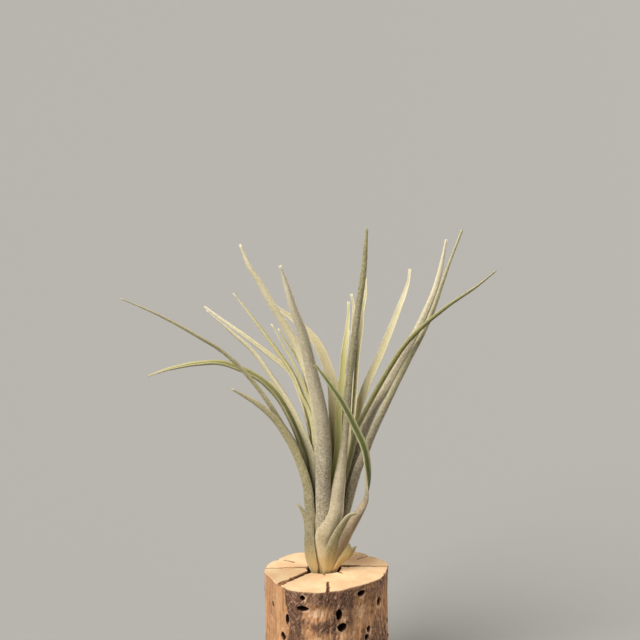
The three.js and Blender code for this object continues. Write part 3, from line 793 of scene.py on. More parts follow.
@dataclass(frozen=True)
class Rosette:
    """The plant: its leaves, ring by ring, and the silver scales on them."""

    leaves: tuple[Leaf, ...]
    scales_per_square_metre: float = 1.1e6

    def build(self) -> None:
        """Grows, dresses and seats every leaf, then the scales of each ring."""
        speckle, blade = speckle_group(), blade_tree()
        skins = {tone: tone.value.material("leaf_" + tone.name.lower(), speckle) for tone in Tone}
        rings: dict[Ring, list[bpy.types.Object]] = {}
        for count, leaf in enumerate(self.leaves):
            made = grown(leaf.spine(), blade, {"Skin": skins[leaf.tone], "Seed": count * 0.37})
            hand_over(made, "leaf", leaf.name)
            rings.setdefault(leaf.ring, []).append(made)
        self.scatter(rings)

    def scatter(self, rings: dict[Ring, list[bpy.types.Object]]) -> None:
        """Sets the scales over each ring's leaves, as one piece a ring.

        Args:
            rings: the leaves' finished pieces.
        """
        tree = trichome_tree()
        silver = ScaleFinish((0.60, 0.55, 0.42)).material("scale_silver")
        ivory = ScaleFinish((0.56, 0.49, 0.31)).material("scale_ivory")
        for count, (ring, pieces) in enumerate(rings.items()):
            copies = []
            for piece in pieces:
                copy = piece.copy()
                copy.data = piece.data.copy()
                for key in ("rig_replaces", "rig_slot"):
                    copy.pop(key, None)
                copy.parent = None
                bpy.context.scene.collection.objects.link(copy)
                copies.append(copy)
            with bpy.context.temp_override(active_object=copies[0], selected_editable_objects=copies):
                bpy.ops.object.join()
            made = grown(copies[0], tree, {"Silver": silver, "Ivory": ivory, "Seed": 11 + count,
                                           "Per Square Metre": self.scales_per_square_metre})
            made.name = f"scales_{ring.name.lower()}_ring"
            hand_over(made, "leaf")


@dataclass(frozen=True)
class Stem:
    """The short stem that the sheaths stand round, turned from radius and height above the post's top."""

    profile: tuple[tuple[float, float], ...] = (
        (2.6, -3.5), (2.6, -3), (2.4, -1.8), (2.1, -0.4), (1.8, 1.2), (1.2, 3.4), (0.7, 6.5))
    sides: int = 40
    ring_depth: float = 0.06
    rings_a_millimetre: float = 5 / math.tau

    def build(self) -> None:
        """Turns the stem, with low rings where old leaves stood."""
        fine = np.linspace(0, len(self.profile) - 1, 60)
        radius = np.interp(fine, range(len(self.profile)), [r for r, _ in self.profile])
        height = np.interp(fine, range(len(self.profile)), [h for _, h in self.profile])
        radius = radius - self.ring_depth * (1 - np.cos(height * self.rings_a_millimetre * math.tau))
        turn = np.arange(self.sides) * math.tau / self.sides
        rows = [np.stack([r * np.cos(turn), r * np.sin(turn), np.full(self.sides, h)], 1)
                for r, h in zip(radius, height)]
        points = np.vstack([*rows, [[0, 0, height[0]], [0, 0, height[-1]]]]) + CROWN
        made = new_object("crown_stem", points, shell_faces(len(rows), self.sides))
        made.data.shade_smooth()
        skin, g, surface = new_material("stem_skin")
        spots = g.noise(g.place(), 900, 4)
        g.feed(surface.inputs["Base Color"], g.blend(spots, (0.5, 0.38, 0.18), (0.72, 0.6, 0.34)))
        g.feed(surface.inputs["Normal"], g.bump(spots, 1, 0.0003))
        set_sockets(surface, {"Roughness": 0.85})
        made.data.materials.append(skin)
        hand_over(made, "stem", "stem")


def shell_faces(rings: int, sides: int) -> list[tuple[int, ...]]:
    """Gives the faces of a closed form: rings of points, then the points that close its foot and its head.

    Args:
        rings: how many rings, from the foot up.
        sides: points in a ring, in order against the clock, seen from ahead.

    Returns:
        The faces.
    """
    pairs = [(side, (side + 1) % sides) for side in range(sides)]
    faces = [(first + a, first + b, first + b + sides, first + a + sides)
             for first in range(0, (rings - 1) * sides, sides) for a, b in pairs]
    total = rings * sides
    faces += [(total, b, a) for a, b in pairs]
    return faces + [(total + 1, total - sides + a, total - sides + b) for a, b in pairs]


@dataclass(frozen=True)
class Crack:
    """A crack in the post's top: its ends, and its width and depth at each."""

    start: tuple[float, float]
    stop: tuple[float, float]
    widths: tuple[float, float]
    depths: tuple[float, float]
    waver: float = 0.25

    stride = 0.55
    narrowest = 0.12
    noises = ((0.45, 3), (1.3, 9), (1.5, 17), (1.1, 25))

    def cutter(self, name: str) -> bpy.types.Object:
        """Makes the ragged wedge that opens the crack.

        Args:
            name: the object's name.

        Returns:
            The wedge, as a closed mesh.
        """
        start, stop = np.array(self.start), np.array(self.stop)
        run = stop - start
        length = np.linalg.norm(run)
        run, side = run / length, np.array([-run[1], run[0]]) / length
        count = max(8, round(length / self.stride))
        rows = []
        for step in range(count + 1):
            share = step / count
            middle = start + run * length * share
            sway, shiver, gape, fall = (noise.noise(Vector((*middle * scale, seed)))
                                        for scale, seed in self.noises)
            middle = middle + side * self.waver * (sway * 1.6 + shiver * 0.5)
            width = (self.widths[0] + (self.widths[1] - self.widths[0]) * share) * (1 + 0.5 * gape)
            width = max(self.narrowest, width)
            depth = (self.depths[0] + (self.depths[1] - self.depths[0]) * share) * (1 + 0.35 * fall)
            for across, height in ((-0.5, 0.6), (-0.46, -depth * 0.35), (-0.16, -depth), (0.16, -depth),
                                   (0.46, -depth * 0.35), (0.5, 0.6)):
                rows.append((*(middle + side * across * width), POST_HEIGHT + height))
        sides = 6
        ends = [np.mean(rows[:sides], 0), np.mean(rows[-sides:], 0)]
        return new_object(name, np.array([*rows, *ends]), shell_faces(count + 1, sides))


@dataclass(frozen=True)
class Patch:
    """A patch on the post's side: azimuth, height, half spans in degrees and millimetres, strength."""

    azimuth: float
    height: float
    wide: float
    high: float
    strength: float


@dataclass(frozen=True)
class Post:
    """The sawn length of driftwood: bare wood, weathered skin, worm borings, cracks and the plant's seat.

    radii is read every 20 degrees from +X towards +Y. A boring is its azimuth, its depth below the
    top, its half width and its half height. A seat level is its height over the top, how far the
    hole closes in there and how ragged it is. A flute is its azimuth, its depth and its width in
    degrees. An edge is a depth below the top and the azimuth where the bare face ends.
    """

    radii: tuple[float, ...] = (
        23.6, 26.2, 26.2, 27.2, 24.5, 24, 25.8, 24.8, 24.8,
        24.5, 23.4, 24.6, 27, 26.2, 23.8, 21.4, 21.6, 22.8)
    levels: tuple[tuple[float, float], ...] = ((0, -1), (1, 0), (16, 0.5), (34, -0.3), (50, 0))
    borings: tuple[tuple[float, float, float, float], ...] = (
        (249.5, 2.4, 0.85, 0.85), (249.5, 6.6, 2, 0.9), (282, 9.8, 1.1, 2), (285.3, 15.1, 1.8, 1.5),
        (309.3, 3.4, 1.6, 1.1), (336.4, 9.2, 1, 1.5), (205, 10, 1.4, 0.9), (234.5, 12.1, 0.8, 1.8),
        (228, 19.8, 1.7, 1.3), (320.4, 18.9, 0.9, 1.2), (317, 21.8, 1.1, 1))
    spare_borings: int = 14
    boring_depth: float = 5
    seat_radius: float = 7
    seat_depth: float = 3.8
    seat_levels: tuple[tuple[float, float, float], ...] = ((-2, 0.5, 0.5), (-0.6, 0.2, 1), (0.8, -0.1, 1))
    cracks: tuple[Crack, ...] = (
        Crack((-5.5, 1), (-11.5, -6.9), (2.8, 1.9), (5, 3.6)),
        Crack((-11.3, -6.6), (-18.9, -17), (2.2, 3.2), (1.0, 0.7), 0.4),
        Crack((-5.5, 4.4), (-12, 4.4), (2.6, 1.0), (3.4, 2)),
        Crack((-11.5, 4.4), (-26, 2.8), (1.0, 0.6), (2.2, 1.5), 0.4),
        Crack((5, 6.2), (13, 6.1), (2.8, 1.3), (5, 3)),
        Crack((12.5, 6.1), (27, 5.8), (1.3, 0.8), (3.5, 2.4)),
        Crack((0.4, -12.6), (0.4, -26), (1.1, 1.7), (0.5, 0.9), 0.3),
        Crack((3.4, 0.6), (6.4, -3.2), (2.2, 0.6), (3, 1.5)),
        Crack((-1.4, -2.6), (-0.6, -5.2), (1.6, 0.4), (2.5, 1.5)),
        Crack((-12.5, 10.6), (-17, 13.4), (1.1, 0.6), (1.6, 1)),
        Crack((12, 14.4), (18, 19.6), (1, 0.6), (1.4, 0.8)))
    flutes: tuple[tuple[float, float, float], ...] = (
        (47.5, 1.7, 3), (145, 1.6, 3), (12, 0.7, 3), (352, 0.8, 2.5), (108, 1.1, 4), (186, 0.5, 2))
    patches: tuple[Patch, ...] = (
        Patch(263, 41.5, 10, 3, -1.3), Patch(252.5, 35, 3.5, 2.4, -0.8), Patch(264, 31, 9, 2.8, -1.15),
        Patch(236, 47, 8, 6, 0.5), Patch(289, 46.3, 8, 2.4, 0.8), Patch(241, 38, 4, 12, 0.4),
        Patch(287, 38.5, 4, 2.4, -0.8), Patch(286, 32.2, 7, 2, -0.9), Patch(308, 40, 10, 6.5, -1.0),
        Patch(300, 31, 8, 5, -0.8), Patch(322, 38, 9, 9, -0.6), Patch(345, 40, 10, 9, -0.5),
        Patch(318, 49.5, 6, 2, -0.3), Patch(297, 40, 3, 5, 0.3), Patch(290, 20, 12, 7, 0.4),
        Patch(258, 15, 8, 9, -0.6), Patch(310, 12, 12, 8, -0.5), Patch(20, 35, 14, 20, -0.8),
        Patch(75, 20, 16, 24, -0.7), Patch(120, 38, 15, 12, -0.8), Patch(150, 14, 16, 12, -0.6))
    edges: tuple[tuple[float, float], ...] = (
        (0, 229.4), (6, 232.7), (8, 234.3), (10.4, 235.9), (14.3, 238), (18, 236), (24, 233), (34, 237),
        (50, 235))
    columns: int = 420
    rows: int = 120

    front_cover = 0.72
    back_cover = 0.62
    edge_ease = 1.2
    crease = (0.7, 1.3)
    fibre_height = 0.16
    groove_depth = 0.3
    lump_height = 0.35
    skin_height = 0.4
    sunk = 0.35

    def outline(self, degrees: np.ndarray | float) -> np.ndarray:
        """Gives the radius at an azimuth, eased between the readings.

        Args:
            degrees: the azimuth.

        Returns:
            The radius.
        """
        place = np.mod(degrees, 360) / 360 * len(self.radii)
        before = np.floor(place).astype(int) % len(self.radii)
        readings = np.array(self.radii)
        start, stop = readings[before], readings[(before + 1) % len(self.radii)]
        return start + (stop - start) * smooth(place - np.floor(place), 0, 1)

    def swell(self, height: np.ndarray) -> np.ndarray:
        """Gives how far the side stands out from the outline at a height."""
        return np.interp(height, *zip(*self.levels))

    def all_borings(self) -> list[tuple[float, float, float, float]]:
        """Gives the borings in front and the spare ones, by the same seeded rule as the part.

        Returns:
            Each boring's azimuth, depth below the top, half width and half height.
        """
        state, found = 7, list(self.borings)

        def draw() -> float:
            """Draws the next number.

            Returns:
                A number from 0 to 1.
            """
            nonlocal state
            state = (state * 1664525 + 1013904223) % 4294967296
            return state / 4294967296

        for count in range(self.spare_borings):
            low = count % 3 == 0
            azimuth = 195 + draw() * 150 if low else -10 + draw() * 200
            below = 27 + draw() * 17 if low else 6 + draw() * 37
            found.append((azimuth, below, 0.9 + draw(), 0.9 + draw() * 1.2))
        return found

    def edge(self, height: float) -> float:
        """Gives the azimuth at which the bare face ends and the weathered skin begins."""
        drift = 0.9 * noise.noise(Vector((height * 0.7, 3, 5)))
        return float(np.interp(POST_HEIGHT - height, *zip(*self.edges))) + drift

    def skin(self, degrees: float, height: float) -> float:
        """Gives how much weathered skin covers the side at a place, from 0, bare wood, to 1.

        Args:
            degrees: the azimuth.
            height: the height.

        Returns:
            The share of skin.
        """
        edge = self.edge(height)
        cover = self.back_cover
        if degrees > 180:
            cover = self.front_cover * float(smooth(degrees, edge - self.edge_ease, edge + self.edge_ease))
        if 172 < degrees <= 180:
            cover *= (180 - degrees) / 8
        if degrees > 344:
            cover *= 1 - 0.35 * (degrees - 344) / 16
        for patch in self.patches:
            span = ((degrees - patch.azimuth + 180) % 360 - 180) / patch.wide
            rise = (height - patch.height) / patch.high
            cover += patch.strength * math.exp(-(span * span + rise * rise))
        turn = math.radians(degrees)
        around = Vector((math.cos(turn) * 24, math.sin(turn) * 24, height * 0.45))
        if degrees > edge + 1 or degrees < 178:
            cover += 0.25 * noise.fractal(around * 0.22, 0.8, 2.1, 4)
            cover += 0.3 * noise.noise(around * 1.3)
        return min(1, max(-0.5, cover))

    def relief(self, degrees: float, height: float, skin: float) -> float:
        """Gives the height of the side's fibres, grooves and skin at a place.

        Args:
            degrees: the azimuth.
            height: the height.
            skin: the share of skin there.

        Returns:
            The relief, below 0 for a groove.
        """
        turn = math.radians(degrees)
        x, y = math.cos(turn) * 24, math.sin(turn) * 24
        curl = 1.3 * noise.noise(Vector((x * 0.2, y * 0.2, height * 0.16)))
        strand = Vector((x * 1.6 + curl * 2, y * 1.6 - curl * 2, height * 0.14 + curl))
        fibres = noise.fractal(strand, 0.9, 2.2, 3)
        grooves = noise.noise(Vector((x * 0.42, y * 0.42, height * 0.05 + 7)))
        lumps = noise.noise(Vector((x * 0.15, y * 0.15, height * 0.09 + 31)))
        deepest, half = self.crease
        crease = deepest * math.exp(-((degrees - 0.5 - self.edge(height)) / half) ** 2)
        skin = max(0, skin)
        for azimuth, deep, wide in self.flutes:
            drift = azimuth + 3 * noise.noise(Vector((azimuth, height * 0.06, 2)))
            crease += deep * math.exp(-(((degrees - drift + 180) % 360 - 180) / wide) ** 2)
        uneven = (1 + skin) * self.fibre_height * fibres
        uneven += self.groove_depth * grooves + self.lump_height * lumps
        return uneven + self.skin_height * (skin - 0.5) - crease - self.sunk

    def body(self) -> bpy.types.Object:
        """Makes the post's closed body, with its relief but without its openings.

        Returns:
            The body.
        """
        turns = np.arange(self.columns) * 360 / self.columns
        outline = self.outline(turns)
        cos, sin = np.cos(np.radians(turns)), np.sin(np.radians(turns))
        heights = [0, 0.35, 0.8, *np.linspace(1.3, POST_HEIGHT - 0.25, self.rows), POST_HEIGHT]
        rings = [np.stack([cos * outline * share, sin * outline * share, np.zeros(self.columns)], 1)
                 for share in (0.3, 0.62, 0.9)]
        for height in heights:
            radius = outline + self.swell(np.array(height))
            ease = float(smooth(height, 0.2, 1.6)) * (0.75 + 0.25 * (1 - float(smooth(height, 48.6, 50))))
            radius = radius + np.array([self.relief(a, height, self.skin(a, height)) for a in turns]) * ease
            radius = radius - 0.22 * float(smooth(height, POST_HEIGHT - 0.2, POST_HEIGHT))
            rings.append(np.stack([cos * radius, sin * radius, np.full(self.columns, float(height))], 1))
        rim = rings[-1]
        for share in (0.985, 0.965, *np.linspace(0.94, 0.06, 26)):
            ring = rim * (share, share, 1)
            ring[:, 2] += [0.05 * noise.noise(Vector((x * 0.9, y * 0.5, 4))) - 0.05 for x, y, _ in ring]
            rings.append(ring)
        points = np.vstack([*rings, [[0, 0, 0], [0, 0, POST_HEIGHT - 0.05]]])
        return new_object("driftwood_post", points, shell_faces(len(rings), self.columns))

    def boring_points(self) -> bpy.types.Object:
        """Makes the points that the borings start from, with each one's size and way in.

        Returns:
            The points, as an object.
        """
        azimuths, below, wide, high = np.array(self.all_borings(), float).T
        angles, heights = np.radians(azimuths), POST_HEIGHT - below
        reach = self.outline(np.degrees(angles)) + self.swell(heights)
        points = np.stack([np.cos(angles) * reach, np.sin(angles) * reach, heights], 1)
        made = new_object("boring_points", points)
        write_attribute(made.data, "turn", np.stack([angles * 0, angles * 0, angles], 1))
        sizes = [np.full(len(angles), self.boring_depth), wide * 1.12 + 0.1, high * 1.12 + 0.1]
        write_attribute(made.data, "size", np.stack(sizes, 1) * MM)
        return made

    def seat(self) -> bpy.types.Object:
        """Makes the ragged plug that opens the hole for the plant's foot.

        Returns:
            The plug.
        """
        sides = 96
        turn = np.arange(sides) * math.tau / sides
        uneven = np.array([0.35 * noise.fractal(Vector((math.cos(a) * 2.2, math.sin(a) * 2.2, 5)), 0.8, 2, 3)
                           for a in turn])
        rows = []
        for height, slope, share in ((-self.seat_depth, 1, 0), *self.seat_levels):
            radius = self.seat_radius - slope + uneven * share
            rows.append(np.stack([radius * np.cos(turn), radius * np.sin(turn), np.full(sides, height)], 1))
        points = np.vstack([*rows, [[0, 0, -self.seat_depth], [0, 0, 0.8]]]) + CROWN
        return new_object("seat_plug", points, shell_faces(len(rows), sides))

    def build(self) -> None:
        """Makes the post, opens its seat, cracks and borings, and dresses it."""
        made = self.body()
        cuts = bpy.data.collections.new("cuts")
        tools = [self.seat(), *(crack.cutter(f"crack_{n}") for n, crack in enumerate(self.cracks))]
        for tool in tools:
            cuts.objects.link(tool)
        points = self.boring_points()
        wood = WoodFinish()
        made = grown(made, opened_tree(), {
            "Borings": points, "Cuts": cuts, "Wood": wood.material("driftwood"),
            "Bore": wood.material("driftwood_bore", True)})
        for tool in [*tools, points]:
            bpy.data.objects.remove(tool)
        bpy.data.collections.remove(cuts)
        self.mark(made.data)
        made.data.shade_smooth()
        hand_over(made, "wood", "post")

    def mark(self, mesh: bpy.types.Mesh) -> None:
        """Stores what the wood's materials read: the skin, the painted shade deep in the openings, the halo
        and the sawn top.

        Args:
            mesh: the opened post.
        """
        place = np.zeros(len(mesh.vertices) * 3, np.float32)
        mesh.vertices.foreach_get("co", place)
        place = place.reshape(-1, 3) / MM
        turns = np.degrees(np.arctan2(place[:, 1], place[:, 0])) % 360
        reach = np.hypot(place[:, 0], place[:, 1])
        surface = self.outline(turns) + self.swell(place[:, 2])
        under = surface - reach
        below = POST_HEIGHT - place[:, 2]
        sawn = smooth(below, 0.35, 0.05) * smooth(under, 0.1, 0.5)
        # painted shade: the wood goes towards near black deep inside the borings, cracks and seat, where
        # shade falls
        pit = np.maximum(smooth(under, 1.6, 4.8) * smooth(below, 0.5, 1.2),
                         smooth(below, 0.8, 3.4) * smooth(under, 0.6, 1.4)) * smooth(place[:, 2], 0.5, 1.5)
        halo = np.zeros(len(place))
        for azimuth, deep, wide, high in self.all_borings():
            centre = math.radians(azimuth)
            radius = float(self.outline(azimuth))
            across = radius * ((np.radians(turns) - centre + math.pi) % math.tau - math.pi)
            away = np.hypot(across / (wide + 0.2), (below - deep - 0.3 * high) / (high + 0.35))
            halo = np.maximum(halo, smooth((away - 1) * min(wide, high), 0.7, 0.05) * smooth(under, 4, 1))
        skin = np.array([self.skin(a, z) for a, z in zip(turns, place[:, 2])])
        for label, values in (("skin", skin), ("pit", pit), ("halo", halo), ("sawn", sawn)):
            write_attribute(mesh, label, values)


def opened_tree() -> bpy.types.NodeTree:
    """Makes the tree that opens the post: cuts from a collection, and worm borings at points.

    Returns:
        The tree.
    """
    g, takes, out = open_tree("opened_post", "GeometryNodeTree", {
        "Geometry": ("Geometry", None), "Borings": ("Object", None), "Cuts": ("Collection", None),
        "Raggedness": ("Float", 0.42), "Wood": ("Material", None), "Bore": ("Material", None)},
        {"Geometry": "Geometry"})
    points = g.add("GeometryNodeObjectInfo", {"Object": takes["Borings"]}).outputs["Geometry"]
    cuts = g.add("GeometryNodeCollectionInfo",
                 {"Collection": takes["Cuts"], "Separate Children": True}).outputs[0]
    ball = g.add("GeometryNodeMeshIcoSphere", {"Radius": 1.0, "Subdivisions": 5}).outputs[0]
    rough = g.split_noise(g.add("GeometryNodeInputPosition").outputs[0], 1.7, 3)
    ball = g.moved(ball, "Offset", g.vector("SCALE", rough, takes["Raggedness"]))
    turn, size = (g.named(x, "FLOAT_VECTOR") for x in ("turn", "size"))
    aim = g.add("FunctionNodeEulerToRotation", {0: turn}).outputs[0]
    bores = g.add("GeometryNodeInstanceOnPoints",
                  {"Points": points, "Instance": ball, "Rotation": aim, "Scale": size}).outputs[0]
    made = g.dressed(takes["Geometry"], takes["Wood"])
    for tools in (cuts, bores):
        cut = g.add("GeometryNodeMeshBoolean", {"Mesh 1": made}, operation="DIFFERENCE", solver="MANIFOLD")
        g.feed(cut.inputs["Mesh 2"], g.dressed(tools, takes["Bore"]))
        made = cut.outputs["Mesh"]
    g.feed(out.inputs["Geometry"], g.solid(made))
    return g.tree


def fibre_group() -> bpy.types.NodeTree:
    """Makes the shader group that draws wood fibres, long up the post and curling a little.

    Returns:
        The group.
    """
    g, takes, out = open_tree("wood_fibres", "ShaderNodeTree", {
        "Fineness": ("Float", 900.0), "Stretch": ("Float", 0.1), "Curl": ("Float", 0.002),
        "Lean": ("Float", 0.0)}, {"Lines": "Float", "Height": "Float"})
    place = g.place()
    squeeze = g.add("ShaderNodeCombineXYZ", {0: 1.0, 1: 1.0, 2: takes["Stretch"]}).outputs[0]
    curl = g.vector("SCALE", g.split_noise(place, 210, 2), takes["Curl"])
    height = g.add("ShaderNodeSeparateXYZ", {0: place}).outputs[2]
    lean = g.add("ShaderNodeCombineXYZ", {0: g.math("MULTIPLY", height, takes["Lean"])}).outputs[0]
    long = g.vector("MULTIPLY", g.vector("ADD", g.vector("ADD", place, lean), curl), squeeze)
    feeds = {"Vector": long, "Scale": takes["Fineness"], "Detail": 4, "Roughness": 0.62}
    lines = g.add("ShaderNodeTexNoise", feeds).outputs[0]
    g.feed(out.inputs["Lines"], g.remap(lines, 0.36, 0.64))
    g.feed(out.inputs["Height"], lines)
    return g.tree


@dataclass(frozen=True)
class WoodFinish:
    """Sun-bleached driftwood: bare wood in streaks, dark fibrous skin, pale rims round borings, and painted
    shade deep in the openings.

    broad, fine, hair and curled are sets of fibres: fineness, stretch and curl.
    """

    bare: Colour = (0.54, 0.28, 0.122)
    streak: Colour = (0.36, 0.15, 0.06)
    pale: Colour = (0.82, 0.53, 0.33)
    skin: Colour = (0.215, 0.115, 0.078)
    skin_dark: Colour = (0.075, 0.036, 0.024)
    skin_light: Colour = (0.52, 0.34, 0.235)
    sawn: Colour = (0.89, 0.67, 0.42)
    sawn_warm: Colour = (0.80, 0.52, 0.305)
    wall: Colour = (0.24, 0.095, 0.045)
    # deep is the near-black painted shade inside the openings
    deep: Colour = (0.022, 0.010, 0.006)

    broad = (260, 0.12, 0.003)
    fine = (1100, 0.06, 0.0015)
    hair = (1300, 0.2, 0.006)
    curled = (1250, 0.13, 0.004)
    leans = (0.9, -0.8)

    def material(self, name: str, bore: bool = False) -> bpy.types.Material:
        """Makes the wood's material.

        Args:
            name: the material's name.
            bore: whether it is for the walls of the openings.

        Returns:
            The material.
        """
        made, g, surface = new_material(name)
        tree = bpy.data.node_groups.get("wood_fibres") or fibre_group()
        place = g.place()

        def fibres(fineness: float, stretch: float, curl: float, lean: float = 0) -> bpy.types.Node:
            """Places the fibre group with its own values."""
            feeds = {"Fineness": fineness, "Stretch": stretch, "Curl": curl, "Lean": lean}
            return g.add("ShaderNodeGroup", feeds, node_tree=tree)

        broad, fine, hair = fibres(*self.broad), fibres(*self.fine), fibres(*self.hair)
        ways = [fibres(*self.curled, lean).outputs["Height"] for lean in self.leans]
        split = g.remap(g.noise(place, 130, 2), 0.42, 0.58)
        curls = g.mixed(split, *ways)
        bare = g.blend(broad.outputs["Lines"], self.streak, self.bare)
        bare = g.blend(g.math("MULTIPLY", fine.outputs["Lines"], 0.45), bare, self.pale)
        bark = g.blend(g.remap(curls, 0.38, 0.58), self.skin_dark, self.skin)
        glint = g.math("MULTIPLY", g.remap(curls, 0.51, 0.64), 0.8)
        bark = g.blend(glint, bark, self.skin_light)
        cover = g.math("MULTIPLY_ADD", curls, 1.3, g.math("SUBTRACT", g.attribute("skin"), 0.65))
        side = g.blend(g.remap(cover, 0.22, 0.68, 0, 0.92), bare, bark)
        side = g.blend(g.remap(cover, 0.02, -0.3, 0, 0.85), side, self.pale)
        halo = g.math("MULTIPLY", g.attribute("halo"), g.remap(g.noise(place, 190, 3), 0.44, 0.58, 0, 0.9))
        side = g.blend(halo, side, self.pale)
        rays = g.noise(place, 130, 3)
        end = g.blend(g.remap(rays, 0.35, 0.7), self.sawn, self.sawn_warm)
        pores = g.remap(g.noise(place, 1900, 3, 0.6), 0.35, 0.6, 0.22, 0)
        end = g.blend(pores, end, self.sawn_warm)
        tone = g.blend(g.attribute("sawn"), side, end)
        if bore:
            tone = g.blend(0.7, tone, self.wall)
        # painted shade: near black deep inside the openings
        tone = g.blend(g.attribute("pit"), tone, self.deep)
        g.feed(surface.inputs["Base Color"], tone)
        g.feed(surface.inputs["Roughness"], g.remap(g.attribute("sawn"), 0, 1, 0.82, 0.7))
        lines = g.math("MULTIPLY_ADD", g.math("ADD", hair.outputs["Height"], curls), g.attribute("skin"),
                       fine.outputs["Height"])
        cut = g.math("MULTIPLY", g.noise(place, 1500, 3), 0.4)
        height = g.mixed(g.attribute("sawn"), lines, cut)
        g.feed(surface.inputs["Normal"], g.bump(height, 0.85, 0.0007))
        set_sockets(surface, {"Specular IOR Level": 0.3})
        return made


@dataclass(frozen=True)
class Lamp:
    """A wide soft light, far off: the way to it, its strength, its width in degrees and its colour."""

    name: str
    source: tuple[float, float, float]
    power: float
    spread: float
    tint: Colour

    def hang(self) -> None:
        """Adds the light to the scene."""
        data = bpy.data.lights.new(self.name, "SUN")
        data.energy, data.angle, data.color = self.power, math.radians(self.spread), self.tint
        lamp = bpy.data.objects.new(self.name, data)
        lamp.location = self.source
        lamp.rotation_euler = (-Vector(self.source)).to_track_quat("-Z", "Y").to_euler()
        bpy.context.scene.collection.objects.link(lamp)


@dataclass(frozen=True)
class Studio:
    """A pale floor, soft lights and the camera at the photograph's angle."""

    target: tuple[float, float, float] = (-2.54, 0, 149.8)
    pitch: float = 11
    distance: float = 700
    lens: float = 103.6
    reach: float = 30000
    floor: Colour = (0.36, 0.365, 0.37)
    backdrop: Colour = (0.525, 0.505, 0.465)
    glow: Colour = (1, 0.985, 0.96)
    glow_strength: float = 0.08
    lamps: tuple[Lamp, ...] = (
        Lamp("key", (-0.54, -0.59, 0.61), 4.5, 44, (1, 0.945, 0.85)),
        Lamp("rim", (0.78, 0.4, 0.42), 2.4, 26, (1, 0.94, 0.85)),
        Lamp("fill", (0.7, -0.7, 0.3), 0.3, 50, (1, 0.93, 0.85)))

    def build(self) -> None:
        """Lays the floor, hangs the lights and sets the camera."""
        self.lay_floor()
        for lamp in self.lamps:
            lamp.hang()
        self.light_world()
        bpy.context.scene.view_settings.view_transform = "Standard"
        self.aim()

    def light_world(self) -> None:
        """Fills the shadows a little, and gives what lies past the floor the floor's colour."""
        world = bpy.data.worlds.new("studio")
        world.use_nodes = True
        g = Graph(world.node_tree)
        seen = g.add("ShaderNodeBackground", {"Color": (*self.backdrop, 1)}).outputs[0]
        feeds = {"Color": (*self.glow, 1), "Strength": self.glow_strength}
        glow = g.add("ShaderNodeBackground", feeds).outputs[0]
        ray = g.add("ShaderNodeLightPath").outputs["Is Camera Ray"]
        shown = g.add("ShaderNodeMixShader", {0: ray, 1: glow, 2: seen}).outputs[0]
        g.feed(world.node_tree.nodes["World Output"].inputs["Surface"], shown)
        bpy.context.scene.world = world

    def lay_floor(self) -> None:
        """Makes the wide pale floor."""
        corners = np.array([(-1, -1, 0), (1, -1, 0), (1, 1, 0), (-1, 1, 0)]) * self.reach
        made = new_object("floor", corners, [(0, 1, 2, 3)])
        paint, _, surface = new_material("floor_paint")
        set_sockets(surface, {"Base Color": (*self.floor, 1), "Roughness": 0.9})
        made.data.materials.append(paint)
        made.visible_diffuse = False

    def aim(self) -> None:
        """Sets the camera."""
        data = bpy.data.cameras.new("camera")
        data.lens, data.sensor_width, data.clip_start, data.clip_end = self.lens, 36, 0.05, 100
        camera = bpy.data.objects.new("camera", data)
        tilt = math.radians(self.pitch)
        back = Vector((0, -math.cos(tilt), math.sin(tilt)))
        camera.location = (Vector(self.target) + back * self.distance) * MM
        camera.rotation_euler = (-back).to_track_quat("-Z", "Y").to_euler()
        bpy.context.scene.collection.objects.link(camera)
        bpy.context.scene.camera = camera


